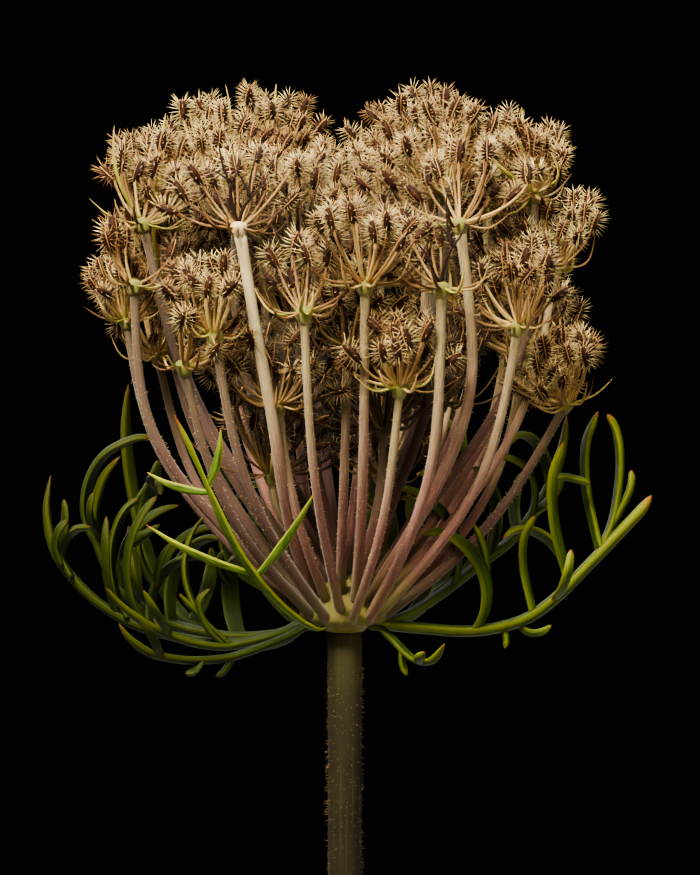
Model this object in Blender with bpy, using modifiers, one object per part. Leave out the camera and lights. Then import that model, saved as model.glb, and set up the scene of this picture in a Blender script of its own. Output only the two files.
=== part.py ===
"""A dried Queen Anne's lace seed head standing in a plain stoneware bud vase.

Lengths are in metres, written as millimetres times MM. +Z is up, the viewer's side is -Y, and the
origin is the centre of the vase's flat foot.
"""

import math

import bmesh
import bpy
import numpy as np

MM = 0.001
GAP = 0.3 * MM  # clearance left between solids that touch

# Vase
VASE_HEIGHT = 100 * MM
VASE_WALL = 3 * MM
VASE_FLOOR = 5 * MM
VASE_OUTLINE = (  # radius and height, from the foot up to the lip
    (23 * MM, 0 * MM),
    (33 * MM, 31 * MM),
    (23 * MM, 63 * MM),
    (9.8 * MM, 83 * MM),
    (11.0 * MM, VASE_HEIGHT),
)
VASE_STEPS = 36
VASE_RINGS_PER_SPAN = 3

# Stem and receptacle
STEM_RADIUS = 2.4 * MM
HEAD_Z = 158 * MM  # the stem's top, under the receptacle
DOME_CENTRE_Z = HEAD_Z + 1.5 * MM
DOME_RADIUS = 6.2 * MM
DOME_EDGE_ANGLE = math.radians(84)
RECEPTACLE_FOOT_RADIUS = 2.7 * MM

# Rays, each with the umbellet that it ends in
RAY_RADIUS = 0.85 * MM
RAY_ROOT_RADIUS = 0.72 * MM
RAY_POINTS = 7
STRAND_SIDES = 8
LOWEST_ROOT_ANGLE = math.radians(71)  # from straight up, on the receptacle's dome
UMBELLET_PROFILE = (  # distance past the ray's tip, and radius
    (1.5 * MM, 2.3 * MM),
    (4.5 * MM, 5.6 * MM),
    (8.2 * MM, 7.4 * MM),
    (11.2 * MM, 6.3 * MM),
    (13.0 * MM, 2.8 * MM),
)
UMBELLET_LEAN = 0.32  # how far an umbellet's axis turns outwards over its length
STRAND_GAP = 0.4 * MM
CORE_RADIUS = 2.4 * MM  # umbellets push each other apart only this far from their axes
SPREAD_ROUNDS = 70
CHECKS_PER_SPAN = 4
FIT_ROUNDS = 90

# Tips in front, placed by hand: bearing in degrees, where 0 faces the viewer and 90 is to the
# right, distance from the axis, height over the stem's top, and the ray's lean there in degrees
FRONT_TIPS = (
    (-90, 27.0, 54.5, -6),
    (-73, 29.0, 46.5, -14),
    (-45, 29.0, 36.5, 0),
    (-34, 29.4, 40.5, -4),
    (-29, 26.8, 54.0, -2),
    (-24, 20.0, 31.5, 2),
    (-10, 29.2, 43.5, -6),
    (1, 21.5, 39.0, -4),
    (5, 27.8, 47.0, -2),
    (16, 25.5, 34.0, 0),
    (24, 29.4, 46.5, -8),
    (33, 26.8, 54.5, -18),
    (49, 29.4, 41.5, 2),
    (97, 26.0, 60.0, -16),
    (90, 29.6, 30.5, 18),
)
# The others, in whorls: count, first bearing, last bearing, distance and height
BACK_WHORLS = (
    (8, 112, 250, 26.5, 57.0),
    (8, 104, 262, 29.5, 44.0),
    (4, 118, 236, 29.0, 33.0),
)
INNER_WHORLS = (
    (5, -20, 268, 15.5, 50.5),
    (5, -52, 236, 13.0, 29.5),
)
WHORL_LEAN = 41  # how far a ray turns back from the slope of its tip
WHORL_UNEVEN = (5.0, 1.2, 2.6, 8.0)  # how far bearing, distance, height and lean wander
SEED = 7

# Bracts: bearing in degrees, sideways drift in degrees, the spine as distances from the axis and
# heights over the stem's top in millimetres, and the lobes. Each lobe: share of the spine where it
# leaves, direction around the spine (0 to the spine's right, 90 up, 180 to its left), length in
# millimetres, angle off the spine and how far it curls up
BRACT_FOOT = (6.1, 0.9)
BRACTS = (
    (-38, 0, ((11.5, 3.4), (18.4, 8.6), (24, 14.8), (28, 21.0), (31.8, 26.8), (34.4, 30.6)),
     ((0.33, 29, 17.5, 44, 0.0), (0.34, 190, 15.5, 54, 0.1), (0.66, 204, 8.5, 70, 0.1),
      (0.68, 53, 8.0, 42, 0.0))),
    (-58, -4, ((12, -1.0), (19.5, -2.4), (27, -1.6), (31, 0.4), (33, 3.0)),
     ((0.34, 255, 3.6, 50, 0.0), (0.46, 285, 3.2, 50, 0.2), (0.62, 30, 8.0, 44, 0.9))),
    (-75, 4, ((12, -0.8), (18, -1.4), (24, 0.4), (29.5, 3.6), (33, 7.2)),
     ((0.32, 100, 10.0, 30, 1.7), (0.60, 20, 9.0, 40, 0.8))),
    (-90, -4, ((13, -1.6), (22, -0.9), (30, 1.8), (36.5, 7.0), (39.8, 13.2), (39.6, 20.6)),
     ((0.36, 150, 13.0, 40, 1.3), (0.52, 40, 14.0, 38, 1.8), (0.74, 80, 8.0, 42, 0.5),
      (0.79, 110, 5.0, 34, 0.1))),
    (-107, 6, ((12, -1.2), (22, -0.6), (30, 3.0), (34.5, 10.0), (34.6, 17.5), (30.9, 23.0)),
     ((0.40, 20, 12.0, 45, 1.5), (0.48, 160, 12.0, 45, 1.4), (0.72, 10, 8.0, 45, 0.6))),
    (-128, 4, ((12, -2.6), (21, -3.2), (29, 0.2), (34, 7.2), (36.5, 15.5), (37.5, 24.0), (36.5, 32.0)),
     ((0.38, 165, 12.0, 48, 1.2), (0.46, 20, 13.0, 42, 1.3), (0.70, 150, 7.0, 40, 0.4))),
    (-156, 6, ((12, -0.6), (21, 0.8), (29, 5.4), (34, 12.8), (36.0, 21.0)),
     ((0.36, 170, 11.0, 46, 1.1), (0.50, 15, 12.0, 44, 1.2), (0.72, 165, 7.0, 38, 0.3))),
    (176, -6, ((12, -1.6), (20, -1.4), (28, 2.2), (34, 8.8), (37.4, 17.0), (38.0, 24.5)),
     ((0.36, 20, 12.0, 45, 1.2), (0.46, 160, 12.0, 46, 1.4), (0.70, 25, 7.0, 36, 0.4))),
    (148, 8, ((12, -0.4), (21, 1.0), (29, 5.6), (34.5, 13.6), (37.5, 23.0), (38.0, 30.5)),
     ((0.38, 170, 12.0, 44, 1.0), (0.52, 10, 12.0, 42, 1.1), (0.70, 165, 8.0, 40, 0.4))),
    (116, -2, ((12, 2.6), (18, 6.6), (24, 10.2), (29, 15.0), (32.4, 21.5), (33.4, 28.0)),
     ((0.42, 110, 9.0, 50, 0.4), (0.58, 15, 10.0, 45, 0.5), (0.66, 175, 8.0, 50, 0.4))),
    (86, 4, ((13, 0.4), (21, 0.6), (28, 4.6), (34, 10.8), (38.4, 15.2), (41.0, 18.2)),
     ((0.42, 95, 13.0, 62, 0.3), (0.56, 120, 20.0, 52, 0.5), (0.68, 70, 19.0, 42, 0.6),
      (0.50, 175, 9.0, 50, 0.8))),
    (50, -8, ((8.6, -0.6), (12, -2.6), (16, -2.4), (19.4, 0.2)),
     ((0.36, 280, 3.6, 56, 0.0), (0.60, 170, 7.0, 45, 0.9))),
)
BRACT_RADIUS = 0.66 * MM
BRACT_TIP_RADIUS = 0.15 * MM
BRACT_POINTS = 9
LOBE_POINTS = 4

COLOURS = {  # linear RGB and roughness
    "vase": ((0.62, 0.58, 0.50), 0.6),
    "stem": ((0.22, 0.24, 0.08), 0.7),
    "receptacle": ((0.36, 0.35, 0.10), 0.7),
    "umbellet": ((0.42, 0.29, 0.15), 0.8),
    "bract": ((0.16, 0.27, 0.04), 0.6),
}


def smooth_step(share):
    """An ease from 0 to 1."""
    share = min(1.0, max(0.0, share))
    return share * share * (3 - 2 * share)


def catmull_rom(points, per_span):
    """A smooth curve through the points, with per_span steps between each two."""
    held = [points[0], *points, points[-1]]
    curve = []
    for a, b, c, d in zip(held, held[1:], held[2:], held[3:]):
        for step in range(per_span):
            t = step / per_span
            curve.append(
                tuple(
                    0.5 * (2 * q + (r - p) * t + (2 * p - 5 * q + 4 * r - s) * t**2
                           + (3 * q - p - 3 * r + s) * t**3)
                    for p, q, r, s in zip(a, b, c, d)
                )
            )
    return [*curve, tuple(points[-1])]


def bearing_vector(degrees):
    """The level unit vector at a bearing: 0 faces the viewer, 90 is to the right."""
    angle = math.radians(degrees)
    return np.array((math.sin(angle), -math.cos(angle), 0.0))


def unit(vector):
    """The vector at length 1, also for a stack of vectors."""
    return vector / np.linalg.norm(vector, axis=-1, keepdims=True)


def new_collection(name):
    """A collection in the scene."""
    made = bpy.data.collections.new(name)
    bpy.context.scene.collection.children.link(made)
    return made


def new_material(name):
    """A Principled material in the piece's colour."""
    colour, roughness = COLOURS[name]
    made = bpy.data.materials.new(name)
    made.use_nodes = True
    shader = made.node_tree.nodes["Principled BSDF"]
    shader.inputs["Base Color"].default_value = (*colour, 1.0)
    shader.inputs["Roughness"].default_value = roughness
    shader.inputs["Metallic"].default_value = 0.0
    made.diffuse_color = (*colour, 1.0)
    return made


def tube(name, points, radii, bevel_resolution, collection, material):
    """A tube along the points, as a curve object with filled caps and a radius at each point."""
    curve = bpy.data.curves.new(name, "CURVE")
    curve.dimensions = "3D"
    curve.bevel_depth = max(radii)
    curve.bevel_resolution = bevel_resolution
    curve.use_fill_caps = True
    spline = curve.splines.new("POLY")
    spline.points.add(len(points) - 1)
    for point, place, radius in zip(spline.points, points, radii):
        point.co = (*place, 1.0)
        point.radius = radius / max(radii)
    curve.materials.append(material)
    made = bpy.data.objects.new(name, curve)
    collection.objects.link(made)
    return made


def as_mesh(source, collection):
    """The curve object as a mesh object with its caps welded. The curve is removed."""
    graph = bpy.context.evaluated_depsgraph_get()
    mesh = bpy.data.meshes.new_from_object(source.evaluated_get(graph))
    shape = bmesh.new()
    shape.from_mesh(mesh)
    bmesh.ops.remove_doubles(shape, verts=shape.verts, dist=0.00001)
    shape.to_mesh(mesh)
    shape.free()
    name = source.name
    matrix = source.matrix_world.copy()
    bpy.data.objects.remove(source)
    made = bpy.data.objects.new(name, mesh)
    made.matrix_world = matrix
    collection.objects.link(made)
    return made


def turned(name, profile, steps, collection, material):
    """A solid of revolution: the profile, from the axis and back to it, turned by a Screw."""
    mesh = bpy.data.meshes.new(name)
    points = [(radius, 0.0, height) for radius, height in profile]
    mesh.from_pydata(points, [(i, i + 1) for i in range(len(points) - 1)], [])
    mesh.materials.append(material)
    made = bpy.data.objects.new(name, mesh)
    collection.objects.link(made)
    screw = made.modifiers.new("turn", "SCREW")
    screw.steps = screw.render_steps = steps
    screw.use_merge_vertices = True
    screw.merge_threshold = 0.00005
    screw.use_smooth_shade = True
    return made


def vase_outline(outline):
    """The vase's outer side, from the foot up to the lip."""
    return catmull_rom(outline, VASE_RINGS_PER_SPAN)


def make_vase(collection):
    """The bud vase: a turned wall of one thickness on a thick floor."""
    outer = vase_outline(VASE_OUTLINE)
    inner = [(radius - VASE_WALL, height) for radius, height in outer if height > VASE_FLOOR]
    lip_radius = VASE_OUTLINE[-1][0]
    rim = [
        (lip_radius - 0.75 * VASE_WALL, VASE_HEIGHT + 0.3 * VASE_WALL),
        (lip_radius - 0.25 * VASE_WALL, VASE_HEIGHT + 0.3 * VASE_WALL),
    ]
    floor_radius = inner[0][0] - 2 * MM
    profile = [(0.0, VASE_FLOOR), (floor_radius, VASE_FLOOR), *inner, *rim, *reversed(outer), (0.0, 0.0)]
    return turned("vase", profile, VASE_STEPS, collection, new_material("vase"))


def stem_path():
    """The stem's line: upright in the vase, against the back of its neck, then over to the axis."""
    bottom, top = VASE_FLOOR + GAP, HEAD_Z - GAP
    narrowest = min(radius for radius, _ in vase_outline(VASE_OUTLINE)) - VASE_WALL
    side_step = narrowest * math.cos(math.pi / VASE_STEPS) - STEM_RADIUS - GAP
    count = 14
    path = []
    for i in range(count):
        height = bottom + (top - bottom) * i / (count - 1)
        back = side_step * (1 - smooth_step((height - VASE_HEIGHT) / (top - VASE_HEIGHT)))
        path.append((0.0, back, height))
    return path


def make_stem(collection):
    """The stem, from its cut end on the vase's floor up to the receptacle."""
    path = stem_path()
    return tube("stem", path, [STEM_RADIUS] * len(path), 4, collection, new_material("stem"))


def make_receptacle(collection):
    """The knob that the rays and bracts grow from: a flared foot under a dome."""
    dome = []
    for i in range(8):
        angle = DOME_EDGE_ANGLE * i / 7
        dome.append((DOME_RADIUS * math.sin(angle), DOME_CENTRE_Z + DOME_RADIUS * math.cos(angle)))
    foot = [(4.6 * MM, HEAD_Z + 0.9 * MM), (RECEPTACLE_FOOT_RADIUS, HEAD_Z), (0.0, HEAD_Z)]
    return turned("receptacle", [*dome, *foot], 20, collection, new_material("receptacle"))


def all_tips():
    """(bearing, distance, height, lean) of each ray's tip, in front first and the inner ones last."""
    rng = np.random.default_rng(SEED)
    tips = [
        (bearing, reach * MM, height * MM, math.radians(lean))
        for bearing, reach, height, lean in FRONT_TIPS
    ]
    for count, first, last, reach, height in (*BACK_WHORLS, *INNER_WHORLS):
        slope = math.degrees(math.atan2(reach, height))
        for i in range(count):
            bearing, out, up, lean = rng.uniform(-1, 1, 4) * WHORL_UNEVEN
            tips.append(
                (
                    first + (last - first) * i / (count - 1) + bearing,
                    (reach + out) * MM,
                    (height + up) * MM,
                    math.radians(slope - WHORL_LEAN + lean),
                )
            )
    return tips


def root_directions(tips):
    """Where each ray leaves the dome: near its own side, and evenly apart from the others."""
    slopes = np.array([math.atan2(reach, height) for _, reach, height, _ in tips])
    order = np.argsort(np.argsort(slopes))
    share = (order + 0.5) / len(tips)
    angles = np.arccos(1 - share * (1 - math.cos(LOWEST_ROOT_ANGLE)))
    level = np.array([bearing_vector(bearing) for bearing, _, _, _ in tips])
    wanted = level * np.sin(angles)[:, None] + np.array((0, 0, 1)) * np.cos(angles)[:, None]
    apart = 2 * (RAY_ROOT_RADIUS + STRAND_GAP) / (DOME_RADIUS + GAP)
    found = wanted.copy()
    for _ in range(200):
        between = found[:, None] - found[None]
        distance = np.linalg.norm(between, axis=2) + np.eye(len(tips))
        push = np.clip(1.12 * apart - distance, 0, None) / distance
        found = unit(found + 0.3 * (between * push[..., None]).sum(1) + 0.01 * (wanted - found))
        lowest = math.cos(LOWEST_ROOT_ANGLE + 0.1)
        found[:, 2] = np.maximum(found[:, 2], lowest)
        found = unit(found)
    return found


def strand_radii():
    """The wanted radius at each point of a strand, a ray followed by its umbellet."""
    ray = [RAY_ROOT_RADIUS, RAY_ROOT_RADIUS, *[RAY_RADIUS] * (RAY_POINTS - 2)]
    return np.array([*ray, *[radius for _, radius in UMBELLET_PROFILE]])


def strands():
    """Each ray's line and, past its tip, its umbellet's axis: an array of ray by point by place."""
    tips = all_tips()
    centre = np.array((0, 0, DOME_CENTRE_Z))
    made = []
    for (bearing, reach, height, end_angle), root in zip(tips, root_directions(tips)):
        level = bearing_vector(bearing)
        start = centre + root * (DOME_RADIUS + GAP + 0.15 * MM)
        tip = level * reach + np.array((0, 0, HEAD_Z + height))
        end = level * math.sin(end_angle) + np.array((0, 0, math.cos(end_angle)))
        chord = np.linalg.norm(tip - start)
        leave = unit(0.5 * root + unit(tip - start))
        controls = (start, start + leave * 0.36 * chord, tip - end * 0.53 * chord, tip)
        line = []
        for i in range(RAY_POINTS):
            t = i / (RAY_POINTS - 1)
            weights = ((1 - t) ** 3, 3 * t * (1 - t) ** 2, 3 * t**2 * (1 - t), t**3)
            line.append(sum(w * c for w, c in zip(weights, controls)))
        for along, _ in UMBELLET_PROFILE:
            lean = UMBELLET_LEAN * along / UMBELLET_PROFILE[-1][0]
            line.append(tip + unit(end + lean * level) * along)
        made.append(line)
    return np.array(made)


def refined(lines, radii):
    """Points between the strands' own points, with their radii and the strand that each is on."""
    share = np.arange(CHECKS_PER_SPAN) / CHECKS_PER_SPAN
    a, b = lines[:, :-1, None], lines[:, 1:, None]
    places = (a + (b - a) * share[:, None]).reshape(len(lines), -1, 3)
    thick = radii[:-1, None] + (radii[1:, None] - radii[:-1, None]) * share
    owner = np.repeat(np.arange(len(lines)), places.shape[1])
    spans = np.tile(np.repeat(np.arange(lines.shape[1] - 1), CHECKS_PER_SPAN), len(lines))
    return places.reshape(-1, 3), np.tile(thick.reshape(-1), len(lines)), owner, spans


def spread(lines):
    """Eases strands that come too near each other apart. Roots stay where they are."""
    core = np.minimum(strand_radii(), CORE_RADIUS)
    for _ in range(SPREAD_ROUNDS):
        places, thick, owner, spans = refined(lines, core)
        between = places[:, None] - places[None]
        distance = np.linalg.norm(between, axis=2)
        distance[owner[:, None] == owner[None]] = 1.0
        short = np.clip(thick[:, None] + thick[None] + STRAND_GAP - distance, 0, None)
        push = (between / distance[..., None] * short[..., None]).sum(1) * 0.25
        moved = np.zeros_like(lines)
        np.add.at(moved, (owner, spans), push * 0.5)
        np.add.at(moved, (owner, spans + 1), push * 0.5)
        middle = (lines[:, :-2] + lines[:, 2:]) / 2
        moved[:, 1:-1] += 0.05 * (middle - lines[:, 1:-1])
        along = unit(np.gradient(lines, axis=1))
        moved -= along * (moved * along).sum(2, keepdims=True)
        moved[:, 0] = 0
        moved[:, 1] *= 0.5
        length = np.linalg.norm(moved, axis=2, keepdims=True)
        lines = lines + moved * np.minimum(1, 0.4 * MM / np.maximum(length, 1e-9))
    return lines


def ring_directions(line):
    """The directions of the corners around each point of a strand."""
    along = np.gradient(line, axis=0)
    along = unit(along)
    level = line[RAY_POINTS - 1] * (1, 1, 0)
    side = np.cross(along, unit(level + (1e-9, 0, 0)))
    side = unit(side)
    out = np.cross(side, along)
    turns = 2 * math.pi * np.arange(STRAND_SIDES) / STRAND_SIDES
    return side[:, None] * np.sin(turns)[:, None] + out[:, None] * np.cos(turns)[:, None]


def distance_to_spans(places, starts, ends):
    """The distance from each place to each straight span."""
    along = ends - starts
    share = ((places[:, None] - starts) * along).sum(2) / (along * along).sum(1)
    nearest = starts + along * np.clip(share, 0, 1)[..., None]
    return np.linalg.norm(places[:, None] - nearest, axis=2)


def fitted_corners(lines):
    """Every strand's corners: point by side by place. Umbellets keep clear of all other strands."""
    count = len(lines)
    tip = RAY_POINTS - 1
    axis_start, axis_end = lines[:, tip + 1], lines[:, -1]
    directions = np.array([ring_directions(line) for line in lines])
    radii = np.repeat(np.tile(strand_radii(), (count, 1))[..., None], STRAND_SIDES, axis=2)
    share = np.array((0, 0.34, 0.67))
    for strand in range(count):
        others = np.arange(count) != strand
        ray_starts = lines[others, :tip].reshape(-1, 3)
        ray_ends = lines[others, 1 : tip + 1].reshape(-1, 3)
        for _ in range(FIT_ROUNDS):
            corners = lines[strand][:, None] + directions[strand] * radii[strand][..., None]
            lower, upper = corners[tip:-1], corners[tip + 1 :]
            rows = lower[:, :, None] + (upper - lower)[:, :, None] * share[:, None]
            turned_on = np.roll(rows, -1, axis=1)
            checks = rows[:, :, :, None] + (turned_on - rows)[:, :, :, None] * share[:, None]
            shape = checks.shape[:4]
            checks = checks.reshape(-1, 3)
            to_rays = distance_to_spans(checks, ray_starts, ray_ends).min(1)
            to_axes = distance_to_spans(checks, axis_start, axis_end)
            to_own = to_axes[:, strand]
            to_other = to_axes[:, others].min(1)
            bad = (to_rays < RAY_RADIUS + STRAND_GAP) | (to_other < to_own + STRAND_GAP)
            bad = bad.reshape(shape).any(axis=(2, 3))
            if not bad.any():
                break
            for span, side in np.argwhere(bad):
                for point in (tip + span, tip + span + 1):
                    for corner in (side, (side + 1) % STRAND_SIDES):
                        if point > tip:
                            radius = radii[strand, point, corner]
                            radii[strand, point, corner] = max(RAY_RADIUS, 0.965 * radius)
    return lines[:, :, None] + directions * radii[..., None]


def lofted(name, rings, collection, material):
    """A closed mesh through rings of corners, with a flat cap at both ends."""
    count, sides = rings.shape[:2]
    faces = [tuple(range(sides))[::-1]]
    for ring in range(count - 1):
        for side in range(sides):
            a, b = ring * sides + side, ring * sides + (side + 1) % sides
            faces.append((a, b, b + sides, a + sides))
    faces.append(tuple(range((count - 1) * sides, count * sides)))
    mesh = bpy.data.meshes.new(name)
    mesh.from_pydata(rings.reshape(-1, 3).tolist(), [], faces)
    shape = bmesh.new()
    shape.from_mesh(mesh)
    bmesh.ops.recalc_face_normals(shape, faces=shape.faces)
    shape.to_mesh(mesh)
    shape.free()
    mesh.materials.append(material)
    made = bpy.data.objects.new(name, mesh)
    collection.objects.link(made)
    return made


def make_umbellets(collection):
    """The rays, each with its umbellet: a stalk that widens into a brush-shaped head."""
    material = new_material("umbellet")
    for i, rings in enumerate(fitted_corners(spread(strands()))):
        lofted(f"umbellet_{i + 1:02d}", rings, collection, material)


def bract_spine(bearing, drift, outline):
    """The points of a bract's mid line."""
    line = catmull_rom((BRACT_FOOT, *outline), 6)
    spine = []
    for i in range(BRACT_POINTS):
        share = i / (BRACT_POINTS - 1)
        reach, height = line[round(share * (len(line) - 1))]
        turned_by = bearing + drift * share**2
        spine.append(bearing_vector(turned_by) * reach * MM + np.array((0, 0, HEAD_Z + height * MM)))
    return np.array(spine)


def lobe_line(spine, bearing, share, around, length, angle, curl):
    """A lobe's line: it leaves the spine at an angle and curls up."""
    at = share * (len(spine) - 1)
    index = int(at)
    along = unit(spine[index + 1] - spine[index])
    side = unit(np.cross(along, np.cross(bearing_vector(bearing + 90), along)))
    up = unit(np.cross(side, along))
    if up[2] < 0:
        up = -up
    around = math.radians(around)
    aside = side * math.cos(around) + up * math.sin(around)
    line = [spine[index] + (spine[index + 1] - spine[index]) * (at - index)]
    for i in range(LOBE_POINTS - 1):
        t = (i + 0.4) / (LOBE_POINTS - 1)
        turn = math.radians(angle) * (1 - 0.4 * t)
        heading = unit(along * math.cos(turn) + aside * math.sin(turn) + up * curl * t)
        line.append(line[-1] + heading * length * MM / (LOBE_POINTS - 1))
    return line


def make_bract(number, settings, collection, helpers, material):
    """One bract: a spine and its lobes, joined."""
    bearing, drift, outline, lobes = settings
    name = f"bract_{number:02d}"
    spine = bract_spine(bearing, drift, outline)
    radii = [BRACT_RADIUS] * (BRACT_POINTS - 1) + [BRACT_TIP_RADIUS]
    body = tube(name, spine, radii, 1, collection, material)
    body = as_mesh(body, collection)
    lobe_radii = [0.75 * BRACT_RADIUS, 0.95 * BRACT_RADIUS, 0.85 * BRACT_RADIUS, BRACT_TIP_RADIUS]
    for i, (share, around, length, angle, curl) in enumerate(lobes):
        line = lobe_line(spine, bearing, share, around, length, angle, curl)
        lobe = tube(f"{name}_lobe_{i + 1}", line, lobe_radii, 0, helpers, material)
        lobe = as_mesh(lobe, helpers)
        lobe.hide_render = True
        lobe.display_type = "WIRE"
        union = body.modifiers.new(lobe.name, "BOOLEAN")
        union.operation = "UNION"
        union.solver = "EXACT"
        union.object = lobe
    return body


def make_bracts(collection, helpers):
    """The ring of green, divided bracts under the head."""
    material = new_material("bract")
    for i, settings in enumerate(BRACTS):
        make_bract(i + 1, settings, collection, helpers, material)


def main():
    """Builds every piece."""
    for leftover in list(bpy.data.objects):
        bpy.data.objects.remove(leftover)
    pieces = new_collection("dried_queen_annes_lace_in_vase")
    helpers = new_collection("joined_lobes")
    make_vase(pieces)
    make_stem(pieces)
    make_receptacle(pieces)
    make_umbellets(pieces)
    make_bracts(pieces, helpers)


main()
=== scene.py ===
"""A dried seed head of Queen Anne's lace on its stem, standing in a plain stoneware bud vase.

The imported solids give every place: each ray grows along the middle of its own solid, and the
vase, stem, receptacle and bracts repeat the solids' outlines with finer steps. Strands such as
rays, stalks and bract lobes are lofted many at a time, because their curves, ribs and gutters
change from ring to ring. What repeats, such as a bristle or a seed, is modelled once and copied.
"""

import logging
import math
from collections.abc import Iterator
from contextlib import contextmanager
from dataclasses import dataclass, field
from enum import IntEnum
from functools import cached_property

import bpy
import numpy as np
from bpy.types import Material, Mesh, Node, NodeSocket, Object
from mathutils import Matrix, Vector

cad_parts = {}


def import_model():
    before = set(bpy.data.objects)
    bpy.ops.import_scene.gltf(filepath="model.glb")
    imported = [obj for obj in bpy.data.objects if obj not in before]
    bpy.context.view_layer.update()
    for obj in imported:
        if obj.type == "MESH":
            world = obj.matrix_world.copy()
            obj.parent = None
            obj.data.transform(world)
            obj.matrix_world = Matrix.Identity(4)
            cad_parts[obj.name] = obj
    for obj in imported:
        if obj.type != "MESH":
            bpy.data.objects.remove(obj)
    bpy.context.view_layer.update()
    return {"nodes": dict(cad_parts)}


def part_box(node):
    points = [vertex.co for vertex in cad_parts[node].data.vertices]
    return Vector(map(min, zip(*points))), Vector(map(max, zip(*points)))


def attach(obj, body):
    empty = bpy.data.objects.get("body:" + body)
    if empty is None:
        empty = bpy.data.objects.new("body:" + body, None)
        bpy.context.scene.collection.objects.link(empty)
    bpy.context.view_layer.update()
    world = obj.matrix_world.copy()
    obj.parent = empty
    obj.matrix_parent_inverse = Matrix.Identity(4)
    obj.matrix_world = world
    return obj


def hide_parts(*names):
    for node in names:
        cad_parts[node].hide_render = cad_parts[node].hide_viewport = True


MM = 0.001
GOLDEN_TURN = math.radians(137.508)
GRAIN_SHIFT = 40.0  # how far the grain moves from one tone to another, in millimetres
UP = np.array((0.0, 0.0, 1.0))
RIGHT = np.array((1.0, 0.0, 0.0))
LEVEL = np.array((1.0, 1.0, 0.0))
BLACK = (0.0, 0.0, 0.0)
HEAD_MIDDLE = (0.0, -0.01, 0.222)  # where most lamps point, in metres
VASE_MIDDLE = (0.0, 0.0, 0.045)
LOG = logging.getLogger("seed_head")

Array = np.ndarray
Colour = tuple[float, float, float]
Triple = tuple[float, float, float]
Stops = tuple[tuple[float, Colour], ...]


# ---------------------------------------------------------------- vectors and lines


def unit(vectors: Array) -> Array:
    """Vectors at length one, along the last axis."""
    return vectors / np.linalg.norm(vectors, axis=-1, keepdims=True).clip(1e-12)


def bearing_vector(degrees: float) -> Array:
    """The level direction at a bearing, where 0 faces the front and 90 is to the right."""
    angle = math.radians(degrees)
    return np.array((math.sin(angle), -math.cos(angle), 0.0))


def smooth_step(share: float) -> float:
    """An ease from 0 to 1."""
    share = min(max(share, 0.0), 1.0)
    return share * share * (3 - 2 * share)


def catmull_rom(points: Array, per_span: int) -> Array:
    """A smooth line through points.

    Args:
        points: The points, one a row.
        per_span: How many steps lie between two of them.

    Returns:
        The line's points, both ends included.
    """
    points = np.asarray(points, float)
    padded = np.vstack((2 * points[0] - points[1], points, 2 * points[-1] - points[-2]))
    steps = np.linspace(0, 1, per_span, endpoint=False)[:, None]
    line = []
    for a, b, c, d in zip(padded, padded[1:], padded[2:], padded[3:]):
        bend = (2 * a - 5 * b + 4 * c - d) * steps**2 + (3 * b - a - 3 * c + d) * steps**3
        line.append(0.5 * (2 * b + (c - a) * steps + bend))
    return np.vstack((*line, points[-1:]))


def bezier(corners: Array, count: int) -> Array:
    """Cubic curves, many at once.

    Args:
        corners: The four control points of each curve, as (curves, 4, 3).
        count: The number of points on each.

    Returns:
        The points, as (curves, count, 3).
    """
    t = np.linspace(0, 1, count)[None, :, None]
    a, b, c, d = (corners[:, i, None] for i in range(4))
    return a * (1 - t) ** 3 + 3 * b * t * (1 - t) ** 2 + 3 * c * t**2 * (1 - t) + d * t**3


def arched(roots: Array, leave: Array, ends: Array, arrive: Array, count: int) -> Array:
    """Cubic curves that leave their roots and come to their ends by given steps, count points on each."""
    return bezier(np.stack((roots, roots + leave, ends - arrive, ends), 1), count)


def on_line(line: Array, at: float | Array) -> tuple[Array, Array]:
    """Places on a line.

    Args:
        line: The line's points.
        at: How far along each place is, counted in the line's steps.

    Returns:
        The places, and the steps of the line that they lie in.
    """
    at = np.asarray(at)
    index = at.astype(int)
    step = line[index + 1] - line[index]
    return line[index] + step * (at - index)[..., None], step


def square_to(axis: Array) -> tuple[Array, Array]:
    """Two directions at right angles to an axis and to each other, the second facing up."""
    aside = np.cross(axis, UP)
    if np.linalg.norm(aside) < 0.05:
        aside = np.cross(axis, (0.0, 1.0, 0.0))
    aside = unit(aside)
    return aside, np.cross(aside, axis)


# ---------------------------------------------------------------- growths


class Coat(IntEnum):
    """The finishes of a seed head's pieces, in the order in which they hold them."""

    RAY = 0
    STALK = 1
    SEED = 2
    BRISTLE = 3


@dataclass
class Growth:
    """Faces on their way into a piece, with what the finishes read at each point.

    grain holds the cosine and sine of the angle around the strand and the millimetres along it,
    along runs from 0 at a strand's root to 1 at its tip, tone tells one organ from another, and
    coat is the number of the finish.
    """

    points: Array
    faces: list[Array]
    grain: Array
    along: Array
    tone: Array
    coat: int = 0

    def copied(self, places: Array, tones: Array, coat: int | None = None) -> "Growth":
        """Copies of this growth at many places.

        Args:
            places: A 4 by 4 matrix for each copy.
            tones: What is added to the tone of each copy.
            coat: The number of the copies' finish, where it is another.

        Returns:
            All copies in one growth.
        """
        count, size = len(places), len(self.points)
        turned = np.einsum("cij,pj->cpi", places[:, :3, :3], self.points) + places[:, None, :3, 3]
        steps = np.arange(count)[:, None, None] * size
        faces = [(f[None] + steps).reshape(-1, f.shape[1]) for f in self.faces]
        tone = (self.tone[None] + tones[:, None]).ravel()
        grain = np.tile(self.grain, (count, 1))
        grain[:, 2] += np.repeat(tones * GRAIN_SHIFT, size)
        along = np.tile(self.along, count)
        coat = self.coat if coat is None else coat
        return Growth(turned.reshape(-1, 3), faces, grain, along, tone, coat)


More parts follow.
